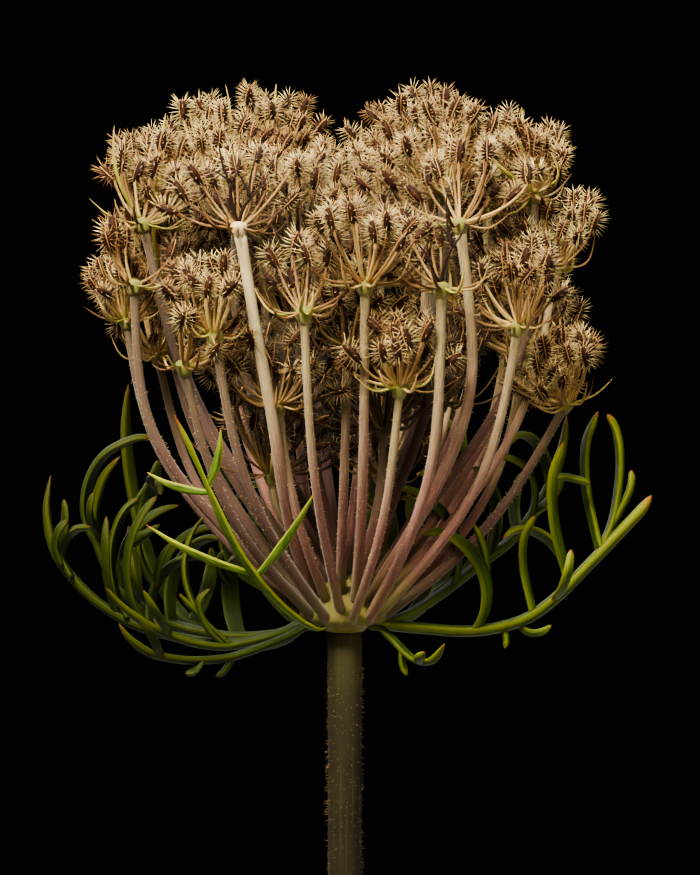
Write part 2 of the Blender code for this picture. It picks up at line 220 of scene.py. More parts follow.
def matrices(
    origins: Array, fronts: Array, heights: Array,
    scale: float | Array = 1.0, long: float | Array = 1.0,
) -> Array:
    """Places for copies, each with its own heading.

    Args:
        origins: Where each copy's origin goes.
        fronts: Where each copy's X axis faces, as nearly as its Z axis allows.
        heights: Where each copy's Z axis points.
        scale: The size of each copy.
        long: How far each copy is stretched along its Z axis.

    Returns:
        A 4 by 4 matrix for each copy.
    """
    up = unit(heights)
    front = unit(fronts - (fronts * up).sum(-1, keepdims=True) * up)
    places = np.zeros((len(origins), 4, 4))
    sizes, stretch = (np.broadcast_to(v, (len(origins),))[:, None] for v in (scale, long))
    places[:, :3, 0] = front * sizes
    places[:, :3, 1] = np.cross(up, front) * sizes
    places[:, :3, 2] = up * sizes * stretch
    places[:, :3, 3] = origins
    places[:, 3, 3] = 1.0
    return places


def round_sections(radii: Array, corners: int, ribbing: float = 0.0) -> Array:
    """Round cross-sections, with every other corner drawn in to make ribs.

    Args:
        radii: The radius of each ring, as (strands, rings).
        corners: The number of corners.
        ribbing: The share of the radius by which every other corner is drawn in.

    Returns:
        The offsets aside and up, as (strands, rings, corners, 2).
    """
    angles = 2 * math.pi * np.arange(corners) / corners
    reach = 1 - ribbing * (np.arange(corners) % 2)
    ring = np.stack((np.cos(angles) * reach, np.sin(angles) * reach), -1)
    return radii[..., None, None] * ring


def leaf_sections(widths: Array, thickness: Array, gutter: float, corners: int) -> Array:
    """Flat cross-sections bent into a gutter, as a narrow leaf has.

    Args:
        widths: The full width of each ring, as (strands, rings).
        thickness: The full thickness of each ring.
        gutter: How deep the gutter is, as a share of the width.
        corners: The number of corners.

    Returns:
        The offsets aside and up, as (strands, rings, corners, 2).
    """
    angles = 2 * math.pi * np.arange(corners) / corners
    aside, up = np.cos(angles), np.sin(angles)
    across = 0.5 * widths[..., None] * aside
    rise = 0.5 * thickness[..., None] * up + gutter * widths[..., None] * (aside**2 - 0.5)
    return np.stack((across, rise), -1)


def lofted(lines: Array, sections: Array, facing: Array, tone: Array, coat: int = 0) -> Growth:
    """Skins over many lines at once, closed at both ends.

    Args:
        lines: The strands' middle lines, as (strands, rings, 3).
        sections: Offsets aside and up around each ring, as (strands, rings, corners, 2).
        facing: The upper side of each strand at its root.
        tone: The tone of each strand.
        coat: The number of the strands' finish.

    Returns:
        One growth with all strands.
    """
    count, rings, corners = sections.shape[:3]
    along_line = unit(np.gradient(lines, axis=1))
    uppers = np.empty_like(lines)
    upper = facing
    for i in range(rings):
        heading = along_line[:, i]
        upper = unit(upper - (upper * heading).sum(-1, keepdims=True) * heading)
        uppers[:, i] = upper
    asides = np.cross(uppers, along_line)
    skin = lines[:, :, None] + asides[:, :, None] * sections[..., :1] + uppers[:, :, None] * sections[..., 1:]
    points = np.concatenate((skin.reshape(count, -1, 3), lines[:, :1], lines[:, -1:]), 1)

    here, turn = np.meshgrid(np.arange(rings - 1), np.arange(corners), indexing="ij")
    after = (turn + 1) % corners
    low, high = here * corners, (here + 1) * corners
    quads = np.stack((low + turn, low + after, high + after, high + turn), -1).reshape(-1, 4)
    turn, after = turn[0], after[0]
    top, first = (rings - 1) * corners, np.full(corners, rings * corners)
    root, tip = np.stack((first, after, turn), -1), np.stack((first + 1, top + turn, top + after), -1)
    caps = np.concatenate((root, tip))
    steps = np.arange(count)[:, None, None] * points.shape[1]
    faces = [(quads[None] + steps).reshape(-1, 4), (caps[None] + steps).reshape(-1, 3)]

    runs = np.cumsum(np.linalg.norm(np.diff(lines, axis=1, prepend=lines[:, :1]), axis=-1), 1)
    share = runs / runs[:, -1:].clip(1e-9)
    angles = 2 * math.pi * np.arange(corners) / corners
    grain = np.empty((count, rings, corners, 3))
    grain[..., 0], grain[..., 1] = np.cos(angles), np.sin(angles)
    grain[..., 2] = (runs / MM + GRAIN_SHIFT * tone[:, None])[..., None]
    ends = np.zeros((count, 2, 3))
    ends[..., 2] = grain[:, (0, -1), 0, 2]
    grain = np.concatenate((grain.reshape(count, -1, 3), ends), 1).reshape(-1, 3)
    along = np.concatenate((np.repeat(share, corners, 1), np.tile((0.0, 1.0), (count, 1))), 1)
    return Growth(points.reshape(-1, 3), faces, grain, along.ravel(), np.repeat(tone, points.shape[1]), coat)


def strand(
    line: Array, radii: Array, corners: int, ribbing: float, facing: Array, tone: float, coat: int = 0
) -> Growth:
    """One round strand along a line, with every other corner drawn in by the ribbing's share."""
    sections = round_sections(radii[None], corners, ribbing)
    return lofted(line[None], sections, facing[None], np.array([tone]), coat)


def leaves(
    lines: Array, widths: Array, flatness: float, gutter: float, facing: Array, tone: Array, corners: int = 8
) -> Growth:
    """Narrow leaves of one shape, in the stalks' finish.

    Args:
        lines: Their middle lines.
        widths: The width of each ring.
        flatness: Their thickness as a share of their width.
        gutter: How deep their gutters are, as a share of the width.
        facing: Their upper side.
        tone: The tone of each leaf.
        corners: The number of corners around each leaf.

    Returns:
        All leaves in one growth.
    """
    widths = np.tile(widths, (len(lines), 1))
    sections = leaf_sections(widths, widths * flatness, gutter, corners)
    return lofted(lines, sections, np.tile(facing, (len(lines), 1)), tone, Coat.STALK)


def piece_from(name: str, growths: list[Growth], finishes: list[Material], nodes: list[str]) -> Object:
    """One piece of the part, made of growths.

    Args:
        name: The piece's name.
        growths: What it is made of.
        finishes: Its materials, in the order of the growths' coats.
        nodes: The solids that it stands for.

    Returns:
        The piece, riding on the part's only body.
    """
    points = np.concatenate([g.points for g in growths])
    faces, coats, step = [], [], 0
    for growth in growths:
        for block in growth.faces:
            faces += (block + step).tolist()
            coats += [growth.coat] * len(block)
        step += len(growth.points)
    mesh = bpy.data.meshes.new(name)
    mesh.from_pydata(points.tolist(), [], faces)
    mesh.polygons.foreach_set("material_index", coats)
    mesh.polygons.foreach_set("use_smooth", [True] * len(faces))
    read = (np.concatenate([getattr(g, key) for g in growths]) for key in ("grain", "along", "tone"))
    write_grain(mesh, *read)
    for finish in finishes:
        mesh.materials.append(finish)
    mesh.update()
    piece = bpy.data.objects.new(name, mesh)
    bpy.context.scene.collection.objects.link(piece)
    settle(piece, nodes)
    return piece


def write_grain(mesh: Mesh, grain: Array, along: Array, tone: Array) -> None:
    """Writes what the finishes read onto a mesh's points.

    Args:
        mesh: The mesh.
        grain: The angle's cosine and sine and the millimetres along, for each point.
        along: The share of the strand's length.
        tone: The organ's tone.
    """
    mesh.attributes.new("grain", "FLOAT_VECTOR", "POINT").data.foreach_set("vector", grain.ravel().astype(np.float32))
    for name, values in (("along", along), ("tone", tone)):
        mesh.attributes.new(name, "FLOAT", "POINT").data.foreach_set("value", values.astype(np.float32))


def settle(piece: Object, nodes: list[str]) -> None:
    """Hands a finished piece to the part: its body and the solids that it stands for."""
    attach(piece, "root")
    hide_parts(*nodes)
    LOG.info("%s: %d faces", piece.name, len(piece.data.polygons))


# ---------------------------------------------------------------- finishes


def tint(red: int, green: int, blue: int) -> Colour:
    """A colour given as on a screen, 0 to 255, made linear."""
    return tuple(((v / 255 + 0.055) / 1.055) ** 2.4 if v > 10 else v / 255 / 12.92 for v in (red, green, blue))


class Wire:
    """The output of a node. Python's signs on it add Math nodes."""

    def __init__(self, paint: "Paint", socket: NodeSocket) -> None:
        """Holds a socket and the paint that it belongs to."""
        self.paint = paint
        self.socket = socket

    def _math(self, operation: str, first: "Wire | float", second: "Wire | float") -> "Wire":
        """A Math node on two values."""
        return self.paint.add("ShaderNodeMath", {"operation": operation}, {0: first, 1: second})

    def __add__(self, other: "Wire | float") -> "Wire":
        """The sum."""
        return self._math("ADD", self, other)

    def __sub__(self, other: "Wire | float") -> "Wire":
        """The difference."""
        return self._math("SUBTRACT", self, other)

    def __rsub__(self, other: float) -> "Wire":
        """The difference, from the right."""
        return self._math("SUBTRACT", other, self)

    def __mul__(self, other: "Wire | float") -> "Wire":
        """The product."""
        return self._math("MULTIPLY", self, other)

    def __abs__(self) -> "Wire":
        """The size without its sign."""
        return self._math("ABSOLUTE", self, 0.0)

    __radd__ = __add__
    __rmul__ = __mul__

    def between(self, low: float, high: float) -> "Wire":
        """0 below low, 1 above high and a soft step between."""
        values = {"Value": self, "From Min": low, "From Max": high, "To Min": 0.0, "To Max": 1.0}
        return self.paint.add("ShaderNodeMapRange", {"interpolation_type": "SMOOTHSTEP"}, values)


@dataclass(frozen=True)
class HeadShape:
    """The seed head's rough outside in metres, which tells the finishes what lies deep inside it, where they paint
    shade.

    The head starts at its foot and widens over a height. Light reaches down to the skin's depth,
    and into its top, which opens between two heights over the foot.
    """

    foot: float = 0.158
    foot_radius: float = 0.0075
    widens_by: float = 0.021
    widens_over: float = 0.042
    skin: float = 0.0095
    opens: tuple[float, float] = (0.052, 0.066)


class Paint:
    """A new material with one Principled shader, whose colour is laid on coat by coat."""

    def __init__(self, name: str, constants: dict[str, float | tuple]) -> None:
        """Starts a material.

        Args:
            name: The material's name.
            constants: Values for the shader's own sockets.
        """
        self.material = bpy.data.materials.new(name)
        self.material.use_nodes = True
        self.tree = self.material.node_tree
        self.tree.nodes.clear()
        self.shader = self.tree.nodes.new("ShaderNodeBsdfPrincipled")
        output = self.tree.nodes.new("ShaderNodeOutputMaterial")
        self.tree.links.new(self.shader.outputs[0], output.inputs["Surface"])
        self.feed(self.shader, constants)
        self.colour: Wire | Colour = BLACK

    def feed(self, node: Node, values: dict) -> None:
        """Sets or links a node's sockets.

        Args:
            node: The node.
            values: A number, a colour or a wire for each named or numbered socket.
        """
        for key, value in values.items():
            socket = node.inputs[key]
            if isinstance(value, Wire):
                self.tree.links.new(value.socket, socket)
            elif isinstance(value, tuple) and socket.type == "RGBA":
                socket.default_value = (*value[:3], 1.0)
            else:
                socket.default_value = value

    def add(self, kind: str, settings: dict, values: dict, output: int | str = 0) -> Wire:
        """Adds a node.

        Args:
            kind: The node's type.
            settings: What is set on the node itself, with a ramp's stops under "stops".
            values: The values or wires of its sockets.
            output: The output that is wanted.

        Returns:
            That output.
        """
        node = self.tree.nodes.new(kind)
        for key, value in settings.items():
            if key != "stops":
                setattr(node, key, value)
                continue
            stops = node.color_ramp.elements
            while len(stops) < len(value):
                stops.new(1.0)
            for stop, (place, _) in zip(stops, value):
                stop.position = place
            for stop, (_, colour) in zip(stops, value):
                stop.color = (*colour, 1.0)
        self.feed(node, values)
        return Wire(self, node.outputs[output])

    def attribute(self, name: str, output: str) -> Wire:
        """What the piece's points hold under a name."""
        return self.add("ShaderNodeAttribute", {"attribute_name": name}, {}, output)

    @cached_property
    def place(self) -> Wire:
        """Where a point lies on the piece."""
        return self.add("ShaderNodeTexCoord", {}, {}, "Object")

    @cached_property
    def grain(self) -> Wire:
        """The angle's cosine and sine around a strand, and the millimetres along it."""
        return self.attribute("grain", "Vector")

    @cached_property
    def along(self) -> Wire:
        """The share of a strand's length."""
        return self.attribute("along", "Fac")

    @cached_property
    def tone(self) -> Wire:
        """The tone of an organ."""
        return self.attribute("tone", "Fac")

    def part(self, vector: Wire, axis: str) -> Wire:
        """One part of a vector."""
        return self.add("ShaderNodeSeparateXYZ", {}, {0: vector}, axis)

    def noise(self, scale: float, detail: float, roughness: float = 0.55, vector: Wire | None = None) -> Wire:
        """Soft noise from 0 to 1 around a half, laid on places unless another vector is given."""
        values = {"Vector": vector or self.place, "Scale": scale, "Detail": detail, "Roughness": roughness}
        return self.add("ShaderNodeTexNoise", {}, values)

    def streaks(self, stretch: Triple, detail: float, roughness: float = 0.55, vector: Wire | None = None) -> Wire:
        """Noise along the grain, or another vector, with each part of it multiplied first."""
        values = {0: vector or self.grain, 1: stretch}
        stretched = self.add("ShaderNodeVectorMath", {"operation": "MULTIPLY"}, values, "Vector")
        return self.noise(1.0, detail, roughness, stretched)

    def mix(self, factor: Wire | float, first: Wire | Colour, second: Wire | Colour) -> Wire:
        """One colour turning into another."""
        settings = {"data_type": "RGBA", "clamp_factor": True}
        return self.add("ShaderNodeMix", settings, {0: factor, 6: first, 7: second}, 2)

    def ground(self, factor: Wire, first: Wire | Colour, second: Wire | Colour) -> None:
        """The first coat: one colour turning into another."""
        self.colour = self.mix(factor, first, second)

    def cover(self, colour: Wire | Colour, share: Wire) -> None:
        """Another coat, which hides what lies under it by a share."""
        self.colour = self.mix(share, self.colour, colour)

    def openness(self) -> Wire:
        """How near the head's outside a place is, for the painted shade: 0 deep among the rays and 1 on the outside.
        """
        head = HeadShape()
        across, deep, height = (self.part(self.place, axis) for axis in "XYZ")
        flat = self.add("ShaderNodeCombineXYZ", {}, {0: across, 1: deep})
        reach = self.add("ShaderNodeVectorMath", {"operation": "LENGTH"}, {0: flat}, "Value")
        outside = height.between(head.foot, head.foot + head.widens_over) * head.widens_by + head.foot_radius
        side = (reach - outside).between(-head.skin, 0.0)
        top = (height - head.foot).between(*head.opens)
        return 1.0 - (1.0 - side) * (1.0 - top)

    def shade_inside(self, colour: Colour, strength: float) -> None:
        """A coat of painted shade that darkens what lies deep in the head."""
        self.cover(colour, (1.0 - self.openness()) * strength)

    def finish(self, roughness: Wire, height: Wire | None = None, depth: float = 0.0) -> Material:
        """Joins the colour, roughness and relief to the shader.

        Args:
            roughness: The roughness.
            height: The relief, from 0 to 1, if there is one.
            depth: The relief's depth in metres.

        Returns:
            The material.
        """
        values = {"Base Color": self.colour, "Roughness": roughness}
        if height is not None:
            bump = {"Height": height, "Distance": depth, "Strength": 1.0}
            values["Normal"] = self.add("ShaderNodeBump", {}, bump)
        self.feed(self.shader, values)
        return self.material


@dataclass(frozen=True)
class RayFinish:
    """The rays' dry skin: olive at the root, dusty pink, then cream, with fine lengthwise lines."""

    stops: Stops = (
        (0.00, tint(112, 104, 40)),
        (0.08, tint(116, 88, 46)),
        (0.18, tint(120, 74, 56)),
        (0.40, tint(138, 84, 72)),
        (0.60, tint(148, 110, 82)),
        (0.80, tint(146, 123, 76)),
        (1.00, tint(164, 144, 86)),
    )
    blush: Colour = tint(86, 34, 34)
    furrow: Colour = tint(62, 44, 24)
    pale: Colour = tint(232, 206, 144)
    green: Colour = tint(114, 112, 32)
    # painted shade for the rays that are given a low tone
    painted_ray_shade: Colour = tint(64, 45, 33)
    # painted shade, laid over the parts of the rays that lie deep inside the head
    deep: Colour = tint(30, 15, 10)

    def material(self) -> Material:
        """The material."""
        sheen = {"Sheen Weight": 0.12, "Sheen Roughness": 0.45, "Sheen Tint": (0.95, 0.85, 0.7)}
        paint = Paint("ray_skin", {**sheen, "Specular IOR Level": 0.2})
        along, tone = paint.along, paint.tone
        drift, flecks = paint.noise(160.0, 2.0), paint.noise(2600.0, 2.0, 0.6)
        lines = paint.streaks((4.2, 4.2, 0.14), 4.0, 0.6)
        hairline = paint.streaks((11.0, 11.0, 0.35), 2.0, 0.5)
        age = along + (drift - 0.5) * 0.35 + (tone - 0.5) * 0.22
        paint.colour = paint.add("ShaderNodeValToRGB", {"stops": self.stops}, {"Fac": age})
        paint.cover(self.blush, lines.between(0.5, 0.68) * (1.3 - along) * 0.6)
        paint.cover(self.pale, hairline.between(0.52, 0.66) * (0.1 + 0.28 * along))
        paint.cover(self.furrow, (1.0 - hairline.between(0.34, 0.47)) * 0.5)
        paint.cover(self.pale, tone.between(0.7, 0.95) * along.between(0.38, 0.85) * 0.75)
        paint.cover(self.blush, flecks.between(0.58, 0.72) * 0.22)
        # painted shade: rays with a low tone are darkened towards a dim brown
        paint.cover(self.painted_ray_shade, (1.0 - tone.between(0.1, 0.4)) * 0.8)
        paint.cover(self.green, along.between(1.02, 1.2) * 0.92)
        paint.shade_inside(self.deep, 0.86)
        return paint.finish(0.62 + hairline * 0.3, lines * 0.6 + hairline * 0.4, 0.00012)


@dataclass(frozen=True)
class StalkFinish:
    """The stalks and bracteoles: straw at the root, golden tan, black-brown where the tone is high."""

    stops: Stops = (
        (0.00, tint(140, 140, 22)),
        (0.09, tint(182, 158, 62)),
        (0.20, tint(196, 158, 86)),
        (0.38, tint(140, 101, 44)),
        (0.62, tint(82, 48, 19)),
        (0.82, tint(44, 22, 9)),
        (1.00, tint(32, 16, 8)),
    )
    pale: Colour = tint(240, 208, 144)
    # painted shade, laid over the parts of the stalks that lie deep inside the head
    deep: Colour = tint(22, 12, 4)

    def material(self) -> Material:
        """The material."""
        paint = Paint("stalk_straw", {"Specular IOR Level": 0.16})
        lines = paint.streaks((3.2, 3.2, 0.5), 3.0, 0.6)
        mottle = paint.streaks((1.1, 1.1, 0.9), 2.0)
        age = paint.tone + (paint.along - 0.5) * 0.22 + (mottle - 0.5) * 0.4
        paint.colour = paint.add("ShaderNodeValToRGB", {"stops": self.stops}, {"Fac": age})
        paint.cover(self.pale, lines.between(0.52, 0.7) * (1.0 - paint.tone) * 0.5)
        paint.shade_inside(self.deep, 0.9)
        return paint.finish(0.5 + lines * 0.3, lines, 0.00005)


@dataclass(frozen=True)
class SeedFinish:
    """The seeds' ridged bodies: dark brown with paler ridges."""

    dark: Colour = tint(12, 6, 2)
    warm: Colour = tint(62, 32, 10)
    ridge: Colour = tint(190, 136, 66)

    def material(self) -> Material:
        """The material."""
        paint = Paint("seed_body", {"Specular IOR Level": 0.08})
        lines = paint.streaks((4.0, 4.0, 0.6), 3.0, 0.65)
        paint.ground(lines.between(0.35, 0.72), self.dark, self.warm)
        paint.cover(self.ridge, paint.along.between(0.9, 1.0) * 0.85)
        paint.cover(self.warm, paint.tone.between(0.5, 1.0) * 0.35)
        return paint.finish(0.45 + lines * 0.35, lines, 0.00006)


@dataclass(frozen=True)
class BristleFinish:
    """The bristles: brown at the foot, golden, then cream at the tip."""

    foot: Colour = tint(52, 27, 5)
    gold: Colour = tint(142, 92, 22)
    cream: Colour = tint(248, 217, 130)
    # painted shade, laid over the bristles that lie deep inside the head
    deep: Colour = tint(26, 15, 6)

    def material(self) -> Material:
        """The material."""
        paint = Paint("seed_bristle", {"Specular IOR Level": 0.35})
        drift = paint.noise(900.0, 2.0)
        bright = paint.mix((paint.tone + (drift - 0.5) * 0.9).between(0.0, 0.8), self.cream, self.gold)
        paint.ground(paint.along.between(0.0, 0.6), self.foot, bright)
        paint.shade_inside(self.deep, 0.92)
        return paint.finish(0.4 + drift * 0.3)


@dataclass(frozen=True)
class BractFinish:
    """The bracts: leaf green with fine pale lines, yellow edges and tips turning orange-brown, under painted shade
    that each bract's tone lays on.
    """

    leaf: Colour = tint(78, 102, 18)
    deep: Colour = tint(38, 58, 6)
    edge: Colour = tint(156, 162, 20)
    line: Colour = tint(120, 142, 24)
    tip: Colour = tint(186, 88, 22)
    # painted shade: near-black olive laid over the bracts that sit in shade, by their tone
    olive: Colour = tint(14, 20, 0)

    def material(self) -> Material:
        """The material."""
        paint = Paint("bract_leaf", {"Specular IOR Level": 0.08})
        along, tone = paint.along, paint.tone
        rim = abs(paint.part(paint.grain, "X"))
        lines = paint.streaks((7.5, 0.6, 0.05), 2.0, 0.5)
        mottle = paint.streaks((1.4, 1.4, 0.35), 3.0, 0.6)
        ripe = rim.between(0.72, 0.98) * 0.75 + (along - 0.55).between(0.0, 0.45) * 0.7
        paint.ground(mottle.between(0.3, 0.7), self.deep, self.leaf)
        paint.cover(self.line, lines.between(0.55, 0.68) * 0.55)
        # the tone dims the yellow edges and orange tips of the shaded bracts, as painted shade
        paint.cover(self.edge, ripe * (1.0 - tone * 0.55))
        paint.cover(self.tip, (along + (mottle - 0.5) * 0.1).between(0.93, 0.995) * (1.0 - tone * 0.5))
        paint.cover(self.olive, tone)
        return paint.finish(0.42 + mottle * 0.25, lines, 0.00008)


@dataclass(frozen=True)
class StemFinish:
    """The stem and receptacle: ribbed olive bark that dries to brown lines, with painted light and shade that make the
    stem paler at its top and darker brown lower down.
    """

    name: str = "stem_bark"
    olive: Colour = tint(36, 32, 9)
    brown: Colour = tint(26, 18, 6)
    pale: Colour = tint(64, 58, 22)
    stretch: Triple = (5.0, 5.0, 0.05)
    painted_falloff: float = 1.0

    def material(self) -> Material:
        """The material."""
        paint = Paint(self.name, {"Specular IOR Level": 0.16})
        along = paint.along
        lines = paint.streaks(self.stretch, 4.0, 0.6)
        drift, flecks = paint.noise(90.0, 3.0), paint.noise(2200.0, 2.0, 0.6)
        paint.ground(drift.between(0.3, 0.75), self.olive, self.brown)
        paint.cover(self.pale, lines.between(0.52, 0.7) * 0.65)
        paint.cover(self.brown, flecks.between(0.56, 0.7) * 0.35)
        # painted light and shade: paler at the stem's top and darker brown lower down
        paint.cover(self.pale, along.between(0.9, 1.0) * 0.55 * self.painted_falloff)
        paint.cover(self.brown, (1.0 - along.between(0.76, 0.96)) * 0.45 * self.painted_falloff)
        return paint.finish(0.6 + flecks * 0.3, lines * 0.7 + flecks * 0.3, 0.00015)


@dataclass(frozen=True)
class StonewareFinish:
    """The vase's matte oatmeal glaze with iron specks, and the bare clay of its foot."""

    glaze: Colour = tint(206, 196, 176)
    thin: Colour = tint(168, 146, 118)
    clay: Colour = tint(150, 112, 82)
    speck: Colour = tint(74, 52, 38)
    foot_height: float = 2.4 * MM
    foot_blur: float = 0.4 * MM

    def material(self) -> Material:
        """The material."""
        paint = Paint("stoneware_glaze", {"Specular IOR Level": 0.4, "Coat Roughness": 0.4})
        cloud, grit = paint.noise(45.0, 4.0, 0.6), paint.noise(1500.0, 3.0, 0.6)
        rings = paint.streaks((4.0, 4.0, 300.0), 2.0, 0.5, paint.place)
        cells = {"Vector": paint.place, "Scale": 420.0, "Randomness": 1.0}
        gaps = paint.add("ShaderNodeTexVoronoi", {"feature": "F1"}, cells, "Distance")
        speck = (gaps + (paint.noise(260.0, 1.0) - 0.5) * 1.1).between(0.06, 0.16)
        height = paint.part(paint.place, "Z") + (cloud - 0.5) * 0.0012
        bare = height.between(self.foot_height + self.foot_blur, self.foot_height - self.foot_blur)
        paint.ground(cloud.between(0.35, 0.75) * 0.55, self.glaze, self.thin)
        paint.cover(self.thin, rings.between(0.5, 0.75) * 0.3)
        paint.cover(self.speck, (1.0 - speck) * 0.85)
        paint.cover(self.clay, bare)
        paint.cover(self.speck, grit.between(0.55, 0.75) * 0.12)
        relief = rings * 0.6 + grit * 0.25 + cloud * 0.15
        return paint.finish(0.42 + cloud * 0.2 + bare * 0.3, relief, 0.00025)


@dataclass(frozen=True)
class FloorFinish:
    """The pale floor."""

    chalk: Colour = tint(226, 222, 214)
    shade: Colour = tint(214, 209, 200)

    def material(self) -> Material:
        """The material."""
        paint = Paint("pale_floor", {"Specular IOR Level": 0.2})
        cloud = paint.noise(6.0, 3.0)
        paint.ground(cloud, self.chalk, self.shade)
        return paint.finish(0.8 + cloud * 0.1)


# ---------------------------------------------------------------- modelling by hand


def start_modelling() -> None:
    """Leaves edit mode and deselects everything."""
    if bpy.context.object and bpy.context.object.mode != "OBJECT":
        bpy.ops.object.mode_set(mode="OBJECT")
    bpy.ops.object.select_all(action="DESELECT")


@contextmanager
def editing() -> Iterator[None]:
    """Edit mode while a block lasts."""
    bpy.ops.object.mode_set(mode="EDIT")
    yield
    bpy.ops.object.mode_set(mode="OBJECT")


def deselect_mesh() -> None:
    """Deselects every vertex, edge and face of the model in hand."""
    with editing():
        bpy.ops.mesh.select_all(action="DESELECT")


def face_outwards() -> None:
    """Turns the faces of the closed model in hand outwards."""
    bpy.ops.mesh.select_all(action="SELECT")
    bpy.ops.mesh.normals_make_consistent(inside=False)


def upright_grain(points: Array, millimetre: float) -> tuple[Array, Array]:
    """The grain of an upright shape.

    Args:
        points: The shape's points.
        millimetre: A millimetre in the points' unit.

    Returns:
        The grain, and how far up each point lies, from 0 to 1.
    """
    x, y, z = points.T
    angle, low, high = np.arctan2(y, x), z.min(), z.max()
    return np.stack((np.cos(angle), np.sin(angle), z / millimetre), -1), (z - low) / (high - low)


def growth_of(model: Object, coat: Coat) -> Growth:
    """Takes a modelled shape into a growth and removes the model.

    Args:
        model: The model, in millimetres, standing on the origin along Z.
        coat: Its finish.

    Returns:
        The growth, whose along runs from the lowest to the highest point.
    """
    mesh = model.data
    points = np.array([v.co for v in mesh.vertices])
    by_corners: dict[int, list] = {}
    for face in mesh.polygons:
        by_corners.setdefault(len(face.vertices), []).append(tuple(face.vertices))
    faces = [np.array(block) for block in by_corners.values()]
    bpy.data.objects.remove(model)
    bpy.data.meshes.remove(mesh)
    return Growth(points, faces, *upright_grain(points, 1.0), np.zeros(len(points)), coat.value)


@dataclass
class SeedPattern:
    """One ripe seed of two halves with eight rows of bristles, modelled in millimetres."""

    half_length: float = 1.4
    half_width: float = 0.7
    half_depth: float = 0.56
    groove: float = 0.7
    rows: tuple[tuple[float, int], ...] = (
        (-64, 8), (64, 8), (116, 8), (244, 8), (-20, 3), (20, 4), (160, 4), (200, 3),
    )
    bristle_length: float = 1.55
    bristle_radius: float = 0.06
    fan: float = 50.0
    thread_radius: float = 0.075
    thread_rings: int = 6

    def body(self) -> Growth:
        """The two-lobed body, with its two seams drawn in."""
        start_modelling()
        bpy.ops.mesh.primitive_uv_sphere_add(segments=8, ring_count=5, radius=1.0)
        model = bpy.context.object
        with editing():
            bpy.ops.transform.resize(value=(self.half_width, self.half_depth, self.half_length))
        deselect_mesh()
        for vertex in model.data.vertices:
            vertex.select = abs(vertex.co.x) < 0.01 and abs(vertex.co.z) < 0.95 * self.half_length
        with editing():
            bpy.ops.transform.resize(value=(1.0, self.groove, 1.0), center_override=(0.0, 0.0, 0.0))
        growth = growth_of(model, Coat.SEED)
        growth.along[:] = 0.0
        return growth

    def bristle(self) -> Growth:
        """One stiff, pointed bristle, open at its sunken foot."""
        start_modelling()
        bpy.ops.mesh.primitive_cone_add(
            vertices=3, radius1=self.bristle_radius, radius2=0.0, depth=1.0, end_fill_type="NOTHING",
            location=(0, 0, 0.5),
        )
        bpy.ops.object.transform_apply(location=True, rotation=True, scale=True)
        return growth_of(bpy.context.object, Coat.BRISTLE)

    def seam(self) -> Growth:
        """The pale thread that runs up both seams from the stalk."""
        heights = np.linspace(-1.0, 1.0, self.thread_rings)
        depth = self.half_depth * self.groove * np.sqrt(1 - (0.93 * heights) ** 2) + 0.02
        threads = [(heights * 0, side * depth, heights * self.half_length * 1.02) for side in (-1, 1)]
        lines = np.array(threads).transpose(0, 2, 1)
        sections = round_sections(np.full(lines.shape[:2], self.thread_radius), 3)
        thread = lofted(lines, sections, np.array(((1.0, 0, 0), (1.0, 0, 0))), np.zeros(2), Coat.SEED)
        thread.along[:] = 1.0
        return thread

    def bristles(self, rng: np.random.Generator) -> Growth:
        """All bristles of one seed.

        Args:
            rng: Where their unevenness comes from.

        Returns:
            The bristles in one growth.
        """
        origins, heights, sizes = [], [], []
        for row, (angle, count) in enumerate(self.rows):
            for i in range(count):
                level = ((i + 0.3 + 0.4 * (row % 2)) / count * 2 - 1) * 0.97
                width = math.sqrt(1 - (0.9 * level) ** 2)
                turn = math.radians(angle + rng.uniform(-7, 7))
                tilt = math.radians(self.fan * level + rng.uniform(-8, 8) + 4)
                out = np.array((math.cos(turn), math.sin(turn), 0.0))
                root = out * np.array((self.half_width, self.half_depth, 0)) * width * 0.8
                origins.append(root + np.array((0, 0, level * self.half_length * 0.93)))
                heights.append(out * math.cos(tilt) + np.array((0, 0, math.sin(tilt))))
                sizes.append(self.bristle_length * (0.74 + 0.26 * width) * rng.uniform(0.84, 1.08))
        places = matrices(np.array(origins), UP[None], np.array(heights), long=np.array(sizes))
        return self.bristle().copied(places, rng.uniform(-0.15, 0.15, len(places)))

    def model(self, seed: int) -> list[Growth]:
        """The whole seed: its parts in millimetres, standing along Z."""
        return [self.body(), self.seam(), self.bristles(np.random.default_rng(seed))]


# ---------------------------------------------------------------- the seed head


@dataclass(frozen=True)
class Branch:
    """A dark forked bracteole on a hub: its trunk and forks, in millimetres to the right, towards
    the front and up, each fork as seen from the trunk's end."""

    trunk: Triple
    forks: tuple[Triple, ...]


